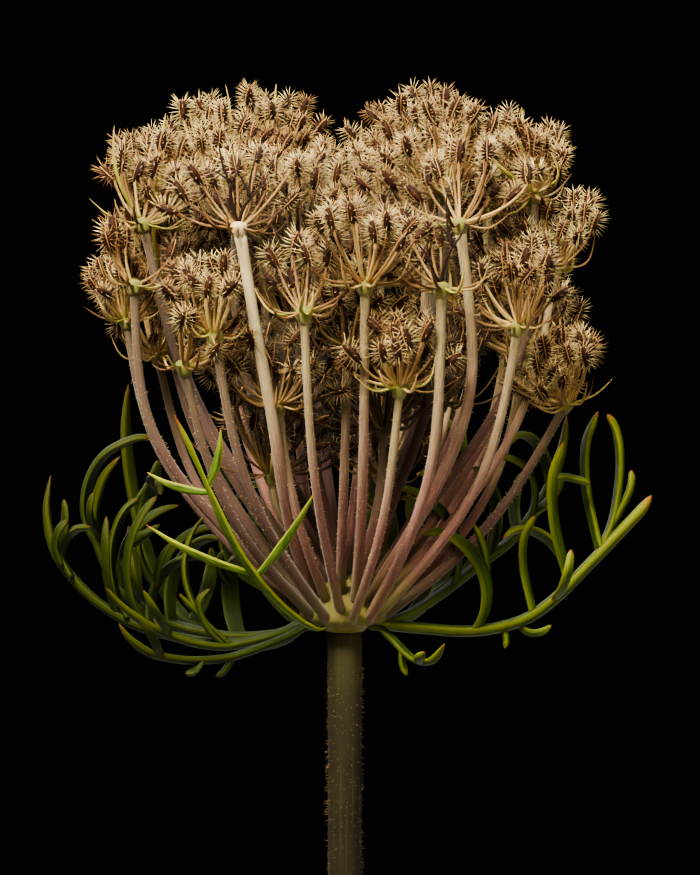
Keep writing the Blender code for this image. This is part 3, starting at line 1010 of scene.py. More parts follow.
@dataclass
class Umbellet:
    """A ray, its hub, and the stalks, seeds and bracteoles that grow from the hub."""

    number: int
    line: Array
    axis: Array
    open_rays: Array
    girth: float
    tone: float
    vigour: float
    seed_size: float
    hub_age: float
    hair_count: int
    stalk_count: int
    bracteole_count: int
    spear_count: int
    branches: tuple[Branch, ...]
    root_swell: float = 0.36
    neck_swell: float = 0.2 * MM
    ray_corners: int = 16
    rib_depth: float = 0.07
    hub_rings: tuple[tuple[float, float], ...] = (
        (-0.95, 0.70), (-0.62, 0.80), (-0.3, 0.94), (0.0, 1.0), (0.22, 0.86), (0.38, 0.56), (0.46, 0.16),
    )
    hub_radius: float = 1.12 * MM
    hub_height: float = 1.5 * MM
    hub_corners: int = 14
    hub_ribs: float = 0.05
    stalk_radius: float = 0.195 * MM
    stalk_reach: tuple[float, float] = (5.0, 9.1)
    stalk_spread: float = 88.0
    stalk_circle: float = 0.82
    stalk_arch: tuple[float, float] = (0.34, 0.36)
    stalk_rings: int = 9
    stalk_corners: int = 5
    outer_squeeze: float = 0.55
    clear_of_stalks: float = 0.9 * MM
    clear_of_seeds: float = 2.4 * MM
    seed_tilt: float = 0.24
    seed_turn: float = 0.45
    hair_size: float = 0.62 * MM
    hairy_part: tuple[float, float] = (0.2, 0.97)
    bracteole_width: float = 0.62 * MM
    bracteole_reach: tuple[float, float] = (4.5, 9.0)
    bracteole_tones: tuple[float, ...] = (0.08, 0.25, 0.42, 0.62)
    bracteole_rings: int = 12
    spear_width: float = 0.8 * MM
    spear_reach: tuple[float, float] = (11.0, 14.0)
    spear_rings: int = 14
    trunk_taper: tuple[float, float] = (0.26, 0.05)
    fork_taper: tuple[float, float] = (0.21, 0.16)
    branch_swing: float = 0.08
    branch_tone: float = 1.1
    rng: np.random.Generator = field(init=False)

    def __post_init__(self) -> None:
        """Gives each umbellet its own unevenness."""
        self.rng = np.random.default_rng(100 + self.number)
        self.aside, self.upper = square_to(self.axis)

    def leaning(self, polar: Array, turn: Array) -> Array:
        """Directions at polar angles off the axis, turned around it."""
        level = np.cos(turn)[:, None] * self.aside + np.sin(turn)[:, None] * self.upper
        return np.cos(polar)[:, None] * self.axis + np.sin(polar)[:, None] * level

    def square(self, turn: Array) -> Array:
        """Directions square to the axis, turned around it."""
        return self.leaning(np.full(len(turn), math.pi / 2), turn)

    def ray(self) -> Growth:
        """The ribbed ray, from the receptacle to the hub."""
        share = np.linspace(0, 1, len(self.line))
        radii = self.girth * (1 + self.root_swell * (1 - share) ** 1.4)
        radii = radii + self.neck_swell * (share.clip(0.96, 1) - 0.96) / 0.04
        wander = 1 + 0.02 * np.sin(share * 21 + self.number)
        return strand(self.line, radii * wander, self.ray_corners, self.rib_depth, self.aside, self.tone, Coat.RAY)

    def hub(self) -> Growth:
        """The green, flattened knob that the stalks grow from, whose foot follows the ray."""
        levels, radii = np.array(self.hub_rings).T
        heading = np.where(levels[:, None] < 0, unit(self.line[-1] - self.line[-2]), self.axis)
        line = self.line[-1] + heading * levels[:, None] * self.hub_height
        radii = radii * self.hub_radius
        knob = strand(line, radii, self.hub_corners, self.hub_ribs, self.aside, self.tone, Coat.RAY)
        knob.along = self.hub_age + 0.3 * knob.along
        return knob

    def hairs(self, pattern: Growth) -> Growth:
        """Short pale hairs on the ray.

        Args:
            pattern: One bristle, of unit length in millimetres.

        Returns:
            The hairs in one growth.
        """
        count = self.hair_count
        middles, step = on_line(self.line, self.rng.uniform(*self.hairy_part, count) * (len(self.line) - 2))
        heading = unit(step)
        aside = unit(np.cross(heading, self.rng.normal(size=(count, 3))))
        out = unit(aside + heading * self.rng.uniform(-0.5, 0.35, count)[:, None])
        long = self.rng.uniform(0.45, 0.95, count)
        places = matrices(middles + aside * self.girth * 0.9, heading, out, self.hair_size, long)
        return pattern.copied(places, self.rng.uniform(-0.3, 0.0, count))

    def squeezed(self, polar: Array, turn: Array) -> Array:
        """Polar angles drawn in where they face out of the head, as the outer stalks stand up."""
        outward = self.line[-1] * LEVEL
        outward = unit(outward - (outward @ self.axis) * self.axis)
        facing = self.square(turn) @ outward
        return polar * (1 - self.outer_squeeze * facing.clip(0, 1) - 0.2 * (-facing).clip(0, 1))

    def stalk_lines(self) -> Array:
        """The stalks' middle lines: they fan out from the hub and the outer ones curl up."""
        count, rng = self.stalk_count, self.rng
        order = np.sqrt((np.arange(count) + 0.6) / count)
        turn = np.arange(count) * GOLDEN_TURN + rng.uniform(-0.3, 0.3, count) + self.number
        polar = self.squeezed(np.radians(self.stalk_spread * order + rng.uniform(-7, 7, count)), turn)
        reach = rng.uniform(*self.stalk_reach, count) * (1 - 0.08 * (polar / 1.4) ** 2) * self.vigour * MM
        reach = reach[:, None]
        leave = self.leaning(polar * 1.12 + 0.1, turn)
        arrive = self.leaning(polar * rng.uniform(0.35, 0.85, count), turn + rng.uniform(-0.3, 0.3, count))
        roots = self.line[-1] + self.square(turn) * (order * self.hub_radius * self.stalk_circle)[:, None]
        roots = roots + self.axis * 0.12 * MM
        ends = roots + self.leaning(polar * 0.95, turn) * reach
        first, last = self.stalk_arch
        return self.beside_rays(arched(roots, leave * reach * first, ends, arrive * reach * last, self.stalk_rings))

    def beside_rays(self, lines: Array) -> Array:
        """The stalks without those that would hide one of the open rays from the front.

        Args:
            lines: The stalks' middle lines.

        Returns:
            The lines that stay.
        """
        away = np.linalg.norm((lines[:, :, None] - self.open_rays)[..., ::2], axis=-1)
        before = lines[:, :, None, 1] < self.open_rays[:, 1]
        near = np.full(lines.shape[1], self.clear_of_stalks)
        near[-1] = self.clear_of_seeds
        hiding = (before & (away < near[None, :, None])).any(axis=(1, 2))
        return lines[~hiding]

    def stalks(self, lines: Array) -> Growth:
        """The stalks, a little thicker at both ends."""
        share = np.linspace(0, 1, lines.shape[1])
        radii = self.stalk_radius * (1.15 - 0.75 * share + 0.62 * share**2)
        sections = round_sections(np.tile(radii, (len(lines), 1)), self.stalk_corners)
        tone = self.rng.uniform(0.18, 0.56, len(lines)) + (self.tone - 0.5) * 0.1
        return lofted(lines, sections, self.rng.normal(size=(len(lines), 3)), tone, Coat.STALK)

    def seeds(self, lines: Array, patterns: list[list[Growth]]) -> list[Growth]:
        """A bristly seed on the end of each stalk.

        Args:
            lines: The stalks' middle lines.
            patterns: The seeds to choose from, in parts.

        Returns:
            The seeds' parts, each in one growth for all that are alike.
        """
        count, rng = len(lines), self.rng
        heading = unit(unit(lines[:, -1] - lines[:, -2]) + rng.normal(scale=self.seed_tilt, size=(count, 3)))
        scale = MM * rng.uniform(0.9, 1.08, count) * self.seed_size
        origins = lines[:, -1] + heading * (scale * 1.3)[:, None]
        faces = unit(origins * LEVEL) + rng.normal(scale=self.seed_turn, size=(count, 3))
        places = matrices(origins, faces, heading, scale)
        tones = rng.uniform(0.0, 0.9, count) * 0.7 + (0.5 - self.tone) * 0.3
        kinds = rng.integers(0, len(patterns), count)
        growths = []
        for kind in np.unique(kinds):
            alike = kinds == kind
            growths += [part.copied(places[alike], tones[alike]) for part in patterns[kind]]
        return growths

    def bracteoles(self) -> Growth:
        """The narrow bracteoles around the hub, which arch out and then up."""
        count, rng = self.bracteole_count, self.rng
        turn = (np.arange(count) + rng.uniform(-0.3, 0.3, count)) * 2 * math.pi / count + self.number * 1.7
        reach = rng.uniform(*self.bracteole_reach, count) * self.vigour * MM
        leave = self.leaning(np.radians(rng.uniform(84, 112, count)), turn)
        arrive = self.leaning(np.radians(rng.uniform(4, 58, count)), turn + rng.uniform(-0.4, 0.4, count))
        roots = self.line[-1] + self.square(turn) * self.hub_radius * 0.8 - self.axis * 0.15 * MM
        knees = roots + leave * (reach * rng.uniform(0.42, 0.6, count))[:, None]
        ends = knees + arrive * (reach * rng.uniform(0.45, 0.7, count))[:, None]
        lines = arched(roots, (knees - roots) * 0.75, ends, ends - knees, self.bracteole_rings)
        share = np.linspace(0, 1, self.bracteole_rings)
        widths = self.bracteole_width * (1 - share**2.2) ** 0.8 * (0.8 + 0.35 * share) + 0.03 * MM
        tone = rng.choice(self.bracteole_tones, count) + rng.uniform(-0.08, 0.08, count)
        return leaves(lines, widths, 0.42, 0.12, self.axis, tone)

    def spears(self) -> Growth:
        """Green, upright bracteoles that stand over the seeds."""
        count, rng = self.spear_count, self.rng
        turn = np.arange(count) * 2.2 + self.number
        leave = self.leaning(np.radians(rng.uniform(26, 52, count)), turn)
        arrive = self.leaning(np.radians(rng.uniform(-22, 6, count)), turn)
        reach = rng.uniform(*self.spear_reach, count)[:, None] * self.vigour**0.5 * MM
        roots = np.tile(self.line[-1], (count, 1))
        ends = roots + unit(leave + arrive) * reach
        lines = arched(roots, leave * reach * 0.4, ends, arrive * reach * 0.4, self.spear_rings)
        share = np.linspace(0, 1, self.spear_rings)
        taper = np.minimum(1, (1 - share) / 0.45) ** 0.8
        widths = self.spear_width * taper * (0.5 + 0.5 * share**0.5) + 0.04 * MM
        return leaves(lines, widths, 0.45, 0.14, self.axis + 0.1, np.zeros(count))

    def forked(self, branch: Branch) -> list[Growth]:
        """One dark forked bracteole: a trunk and its forks."""
        to_world = np.diag((1.0, -1.0, 1.0)) * MM
        root = self.line[-1] + self.axis * 0.3 * MM
        knee = root + np.array(branch.trunk) @ to_world
        spans = [(root, knee), *((knee, knee + np.array(fork) @ to_world) for fork in branch.forks)]
        share = np.linspace(0, 1, self.stalk_rings)
        growths = []
        for i, (start, end) in enumerate(spans):
            bend = self.branch_swing * np.linalg.norm(end - start) * (-1) ** i
            swing = np.cross(unit(end - start), (0.0, 1.0, 0.0)) * bend
            thirds = [start * (1 - t) + end * t + swing for t in (0.33, 0.67)]
            (line,) = bezier(np.array([[start, *thirds, end]]), self.stalk_rings)
            thick, thinning = self.trunk_taper if i == 0 else self.fork_taper
            radii = (thick - thinning * share) * MM
            growths.append(strand(line, radii, 6, 0.0, self.axis, self.branch_tone, Coat.STALK))
        return growths

    def build(self, patterns: list[list[Growth]], hair: Growth, finishes: list[Material]) -> Object:
        """The whole umbellet as one piece, in place of its solid.

        Args:
            patterns: The seeds to choose from, in parts.
            hair: One bristle, of unit length in millimetres.
            finishes: The materials, in the order of Coat.

        Returns:
            The piece.
        """
        lines = self.stalk_lines()
        growths = [self.ray(), self.hub(), self.hairs(hair), self.stalks(lines), self.bracteoles()]
        growths += self.seeds(lines, patterns)
        for branch in self.branches:
            growths += self.forked(branch)
        if self.spear_count:
            growths.append(self.spears())
        name = f"umbellet_{self.number:02d}"
        return piece_from(f"seed_{name}", growths, finishes, [name])


@dataclass
class SeedHead:
    """All umbellets, read from the frame's solids one by one.

    The tables hold what is special to a numbered umbellet: its ray's girth, its hub's age, its
    vigour, how far it nods out, rises, bulges out or sways aside in millimetres, its tone, its
    spears and its forked branches. Pairs are for the umbellets near the front and for the others.
    """

    nodes: dict[str, Object]
    centre: Array
    ray_rings: int = 7
    steps_a_span: int = 6
    root_depth: float = 1.6 * MM
    last_near: int = 15
    last_seen: int = 23
    open_from: int = 12
    girth: float = 0.56 * MM
    girths: dict[int, float] = field(
        default_factory=lambda: {5: 1.25, 6: 0.9, 7: 0.9, 8: 0.95, 10: 0.9, 11: 1.08, 12: 1.15}
    )
    hub_ages: dict[int, float] = field(default_factory=lambda: {5: 0.5})
    vigours: dict[int, float] = field(
        default_factory=lambda: {
            1: 1.05, 2: 0.7, 3: 0.8, 4: 0.85, 5: 1.1, 6: 0.85, 7: 1.0, 8: 0.8, 9: 1.0, 10: 0.8, 11: 1.05, 12: 1.1,
            13: 1.0, 14: 0.85, 15: 0.86, 16: 0.88, 17: 1.35, 18: 1.35, 19: 1.0, 20: 1.0, 21: 1.4, 22: 1.1,
            23: 0.95, 24: 0.9, 25: 1.2, 26: 1.05, 27: 1.25, 28: 1.1, 29: 1.2, 30: 1.05, 31: 0.68, 32: 1.1,
            33: 1.2, 34: 1.05, 35: 1.15, **dict.fromkeys(range(36, 41), 1.3), **dict.fromkeys(range(41, 46), 1.2),
        }
    )
    nods: dict[int, float] = field(default_factory=lambda: {4: 0.3, 14: 1.3, 15: 0.6, 13: 0.3, 1: 0.25, 2: 0.3})
    rises: dict[int, float] = field(
        default_factory=lambda: {
            14: -1.5, 16: -0.5, 17: 2.5, 18: 3.5, 21: 3.5, 22: 2.5, 36: 4.0, 37: 4.5, 38: 4.5, 39: 4.5, 40: 4.0,
            41: -4.0, 42: -3.0, 43: -2.0, 44: -3.0, 45: -4.0,
        }
    )
    bulges: dict[int, float] = field(default_factory=lambda: {5: 3.2, 7: 0.8, 11: 1.0})
    sways: dict[int, float] = field(
        default_factory=lambda: {1: 0.6, 2: -1.7, 5: 3.6, 11: 0.5, 12: 2.8, 13: 0.8, 14: 1.8}
    )
    spears: dict[int, int] = field(
        default_factory=lambda: {1: 1, 14: 2, 16: 1, 19: 1, 21: 1, 22: 1, 23: 2, 26: 1, 30: 1}
    )
    open_numbers: tuple[int, ...] = (1, 5, 7, 11, 12)
    seed_kinds: int = 3
    seed_sizes: tuple[float, float] = (1.16, 1.06)
    hairs: tuple[int, int] = (170, 50)
    fewest_stalks: tuple[int, int] = (24, 27)
    unevenness: float = 4.0
    uprightness: float = 0.7
    nodding: float = 0.16
    # A low tone lays painted shade on a ray, in a dim brown; a high one makes it pale cream.
    tones: dict[int, float] = field(
        default_factory=lambda: {
            1: 0.1, 2: 0.1, 3: 0.12, 4: 0.16, 5: 0.95, 6: 0.46, 8: 0.34, 10: 0.36, 14: 0.2, 15: 0.16,
            23: 0.12, 28: 0.2, 29: 0.16, 30: 0.12, 31: 0.1, 35: 0.16,
        }
    )
    branches: dict[int, tuple[Branch, ...]] = field(
        default_factory=lambda: {
            5: (
                Branch((-1.0, 1.6, 5.2), ((-2.6, 0.3, 1.7), (-1.4, 0.4, 5.4), (1.3, 0.2, 2.3))),
                Branch((1.4, 1.2, 3.3), ((-2.0, 0.5, 3.8), (0.9, 0.3, 5.2), (2.6, 0.2, 3.4))),
            ),
            11: (
                Branch((1.3, 1.6, 4.8), ((-1.9, 0.3, 2.9), (-0.6, 0.5, 7.2), (1.7, 0.2, 2.9))),
                Branch((-1.5, 1.4, 2.8), ((-1.6, 0.2, 2.4), (-0.2, 0.3, 3.0))),
            ),
        }
    )

    def rings_of(self, node: Object) -> Array:
        """The middle of each ring of a ray's solid, from the receptacle outwards.

        Args:
            node: The solid, whose rings of eight corners follow each other.

        Returns:
            The middles, one a row.
        """
        mesh = node.data
        corners = np.array([v.co for v in mesh.vertices])
        keys, first, back = np.unique(np.round(corners, 6), axis=0, return_index=True, return_inverse=True)
        places, back = corners[first], back.ravel()
        nearby: list[set[int]] = [set() for _ in keys]
        for edge in mesh.edges:
            a, b = (int(back[i]) for i in edge.vertices)
            if a != b:
                nearby[a].add(b)
                nearby[b].add(a)
        ring = set(np.argsort(np.linalg.norm(places - self.centre, axis=1))[:8].tolist())
        seen, middles = set(ring), []
        while ring:
            middles.append(places[sorted(ring)].mean(0))
            ring = {n for i in ring for n in nearby[i]} - seen
            seen |= ring
        return np.array(middles)

    def build(self, finishes: list[Material]) -> list[Object]:
        """Builds every umbellet.

        Args:
            finishes: The materials, in the order of Coat.

        Returns:
            The pieces.
        """
        seed = SeedPattern()
        patterns = [seed.model(i) for i in range(self.seed_kinds)]
        hair = seed.bristle()
        places = {}
        for name in sorted(n for n in self.nodes if n.startswith("umbellet_")):
            number = int(name[-2:])
            places[number] = self.grown(number, self.rings_of(self.nodes[name]))
        open_rays = np.concatenate([places[number][0][self.open_from :] for number in self.open_numbers])
        pieces = []
        for number, (line, axis) in places.items():
            nearness = 0 if number <= self.last_near else 1
            umbellet = Umbellet(
                number, line, axis, open_rays,
                girth=self.girth * self.girths.get(number, 1.0),
                tone=self.tones.get(number, 0.35 + 0.3 * ((number * 7) % 10) / 10),
                vigour=self.vigours.get(number, 0.95),
                seed_size=self.seed_sizes[nearness],
                hub_age=self.hub_ages.get(number, 1.08),
                hair_count=self.hairs[nearness],
                stalk_count=self.fewest_stalks[nearness] + (number * 5) % 7,
                bracteole_count=6 + number % 4,
                spear_count=self.spears.get(number, 0),
                branches=self.branches.get(number, ()),
            )
            pieces.append(umbellet.build(patterns, hair, finishes))
        return pieces

    def grown(self, number: int, middles: Array) -> tuple[Array, Array]:
        """A ray's line and the heading of its umbellet.

        Args:
            number: The umbellet's number.
            middles: The middles of its solid's rings.

        Returns:
            The line, rooted inside the receptacle, and the heading.
        """
        line = catmull_rom(middles[: self.ray_rings], self.steps_a_span)
        line = np.vstack((line[:1] - unit(line[1] - line[0]) * self.root_depth, line))
        outward = unit(line[-1] * LEVEL)
        share = np.linspace(0, 1, len(line))[:, None]
        line = line + outward * np.sin(math.pi * share) * self.bulges.get(number, 0.0) * MM
        line = line + RIGHT * np.sin(math.pi * share**1.4) * self.sways.get(number, 0.0) * MM
        uneven = self.unevenness * math.sin(number * 2.4) if number > self.last_seen else 0.0
        line = line + UP * share**2 * (self.rises.get(number, 0.0) + uneven) * MM
        grown = unit(middles[self.ray_rings :].mean(0) - middles[self.ray_rings - 1])
        upright = UP - outward * self.nods.get(number, self.nodding)
        return line, unit(grown * (1 - self.uprightness) + upright * self.uprightness)


# ---------------------------------------------------------------- the bracts


@dataclass(frozen=True)
class Lobe:
    """A lobe of a bract: where it leaves the spine, how it is turned, how long, its curl, its width
    as a share of the bract's own, and its bow as a share of its length where it isn't the bract's."""

    share: float
    around: float
    length: float
    angle: float
    curl: float
    width: float = 1.0
    bow: float | None = None


@dataclass(frozen=True)
class Bract:
    """A feathery bract: a channelled spine and the lobes that leave it, sizes in millimetres.

    The outline gives the spine as distances from the axis and heights over the stem's top. Each
    of the lobes holds a Lobe's numbers, and each of the arcs a width and the places of a long
    lobe that curls over, seen from the front: to the right, away and up.
    """

    bearing: float
    drift: float
    outline: tuple[tuple[float, float], ...]
    lobes: tuple[tuple[float, ...], ...]
    arcs: tuple[tuple, ...] = ()
    # The tone lays painted shade on the bract: 0 for the front bract in the light, near 0.9 for those in shade.
    tone: float = 0.87
    fringe: int = 4
    fringe_part: float = 0.6
    bow: float = 0.12
    spine_width: float = 2.0
    lobe_width: float = 2.0
    root: float = 0.85
    taper: float = 0.18
    point: float = 0.55
    waist: float = 0.0
    plumpness: float = 0.78
    foot: tuple[float, float] = (6.1, 0.9)
    spine_points: int = 9
    lobe_points: int = 4
    leaf_corners: int = 12
    gutter: float = 0.16
    narrowed: tuple[float, float] = (0.74, 0.07)
    swollen: tuple[float, float] = (0.87, 0.06)
    fringe_start: float = 0.24
    fringe_angle: tuple[float, float] = (30.0, 58.0)
    fringe_reach: float = 21.5
    fringe_curl: tuple[float, float] = (95.0, 165.0)
    fringe_side: float = 0.5
    fringe_root: float = 0.85
    curl_spans: int = 8
    forks_from: float = 10.0
    fork_share: float = 0.3
    fork_length: float = 0.42

    def spine(self, head_height: float) -> Array:
        """The points of the mid line, as the solid has them, over the stem's top."""
        line = catmull_rom((self.foot, *self.outline), 6)
        points = []
        for share in np.linspace(0, 1, self.spine_points):
            reach, height = line[round(share * (len(line) - 1))]
            heading = bearing_vector(self.bearing + self.drift * share**2)
            points.append(heading * reach * MM + np.array((0, 0, head_height + height * MM)))
        return np.array(points)

    def lobe(self, spine: Array, lobe: Lobe) -> tuple[Array, Array]:
        """A lobe's points, and the side of it that faces in."""
        start, step = on_line(spine, lobe.share * (len(spine) - 1))
        heading = unit(step)
        side = unit(np.cross(heading, np.cross(bearing_vector(self.bearing + 90), heading)))
        upper = unit(np.cross(side, heading))
        upper = -upper if upper[2] < 0 else upper
        around = math.radians(lobe.around)
        aside = side * math.cos(around) + upper * math.sin(around)
        line, spans = [start], self.lobe_points - 1
        for i in range(spans):
            t = (i + 0.4) / spans
            turn = math.radians(lobe.angle) * (1 - 0.4 * t)
            step = unit(heading * math.cos(turn) + aside * math.sin(turn) + upper * lobe.curl * t)
            line.append(line[-1] + step * lobe.length * MM / spans)
        bow = self.bow if lobe.bow is None else lobe.bow
        swing = np.sin(math.pi * np.linspace(0, 1, len(line)))[:, None] * bow * lobe.length * MM
        return np.array(line) + swing * aside, upper

    def blade(
        self, points: Array, facing: Array, width: float, root: float, taper: float,
        thickness: float = 1.15, waist: float = 0.0,
    ) -> Growth:
        """A channelled, pointed blade along points.

        Args:
            points: Its mid line's points.
            facing: The side that the channel opens to.
            width: Its widest width in millimetres.
            root: The width at the root, as a share.
            taper: The share of its length over which it comes to a point.
            thickness: Its thickness in millimetres.
            waist: How far it narrows before its last lobe, as a share.

        Returns:
            The blade.
        """
        line = catmull_rom(points, 8 if len(points) < 7 else 4)
        share = np.linspace(0, 1, len(line))
        rise = np.array([smooth_step(s / 0.4) for s in share])
        fall = np.minimum(1.0, (1 - share) / taper)
        widths = width * MM * (root + (1 - root) * rise) * fall**self.point + 0.05 * MM
        narrow, swell = (np.exp(-(((share - at) / reach) ** 2)) for at, reach in (self.narrowed, self.swollen))
        widths = widths * (1 - waist * narrow + 0.35 * waist * swell)
        thick = np.minimum(widths * self.plumpness, thickness * self.plumpness * MM)
        sections = leaf_sections(widths[None], thick[None], self.gutter, self.leaf_corners)
        return lofted(line[None], sections, facing[None], np.array([self.tone]), 0)

    def curled(self, start: Array, heading: Array, inner: Array, length: float, bend: float) -> Array:
        """A line that curls over to one side, the more so towards its tip.

        Args:
            start: Where it starts.
            heading: Its first direction.
            inner: The side that it curls to.
            length: Its length in millimetres.
            bend: How far it turns, in degrees.

        Returns:
            Its points.
        """
        inner, spans = unit(inner - (inner @ heading) * heading), self.curl_spans
        points = [start]
        for i in range(spans):
            turn = math.radians(bend) * ((i + 0.5) / spans) ** 1.3
            points.append(points[-1] + (heading * math.cos(turn) + inner * math.sin(turn)) * length * MM / spans)
        return np.array(points)

    def fringes(self, number: int, spine: Array) -> list[Growth]:
        """The curled lobes on both sides of the spine of a numbered bract, some with a short fork."""
        rng = np.random.default_rng(300 + number)
        inward = UP - bearing_vector(self.bearing) * 0.9
        growths = []
        for i in range(self.fringe):
            share = self.fringe_start + self.fringe_part * (i + rng.uniform(0, 0.6)) / self.fringe
            start, step = on_line(spine, share * (len(spine) - 1))
            heading = unit(step)
            side = unit(np.cross(heading, inward)) * (-1) ** i
            angle = math.radians(rng.uniform(*self.fringe_angle))
            aside = side * self.fringe_side + unit(inward) * 0.75
            leave = unit(heading * math.cos(angle) + aside * math.sin(angle))
            length = self.fringe_reach * (1.1 - 0.62 * share) * rng.uniform(0.78, 1.12)
            inner = unit(unit(inward) + heading * rng.uniform(-0.45, 0.1) - side * rng.uniform(0.1, 0.5))
            points = self.curled(start, leave, inner, length, rng.uniform(*self.fringe_curl))
            width = self.lobe_width * rng.uniform(0.95, 1.25)
            growths.append(self.blade(points, inner, width, self.fringe_root, 0.42))
            if length > self.forks_from and rng.random() < self.fork_share:
                fork = int(rng.integers(3, 6))
                ahead = unit(points[fork + 1] - points[fork])
                across = unit(np.cross(ahead, inner)) * rng.choice((-1, 1))
                bend = rng.uniform(30, 90)
                sideways = unit(ahead + across * 0.8)
                twig = self.curled(points[fork], sideways, inner, length * self.fork_length, bend)
                growths.append(self.blade(twig, inner, self.lobe_width * 0.8, self.fringe_root, 0.5))
        return growths

    def build(self, number: int, head_height: float, finish: Material) -> Object:
        """The bract as one piece, in place of its solid.

        Args:
            number: The bract's number.
            head_height: The height of the stem's top in metres.
            finish: Its material.

        Returns:
            The piece.
        """
        spine = self.spine(head_height)
        sunk = np.vstack((spine[0] * (0.72, 0.72, 1.0), spine))
        inward = UP * 0.8 - bearing_vector(self.bearing)
        growths = [self.blade(sunk, inward, self.spine_width, self.root, self.taper, 1.7, self.waist)]
        for lobe in (Lobe(*numbers) for numbers in self.lobes):
            points, upper = self.lobe(spine, lobe)
            growths.append(self.blade(points, upper, self.lobe_width * lobe.width, self.root, self.taper * 2))
        for width, *corners in self.arcs:
            points = np.array(corners) * MM + UP * head_height
            growths.append(self.blade(points, inward, width, self.root, self.taper * 1.6))
        growths += self.fringes(number, spine)
        name = f"bract_{number:02d}"
        return piece_from(f"leafy_{name}", growths, [finish], [name])


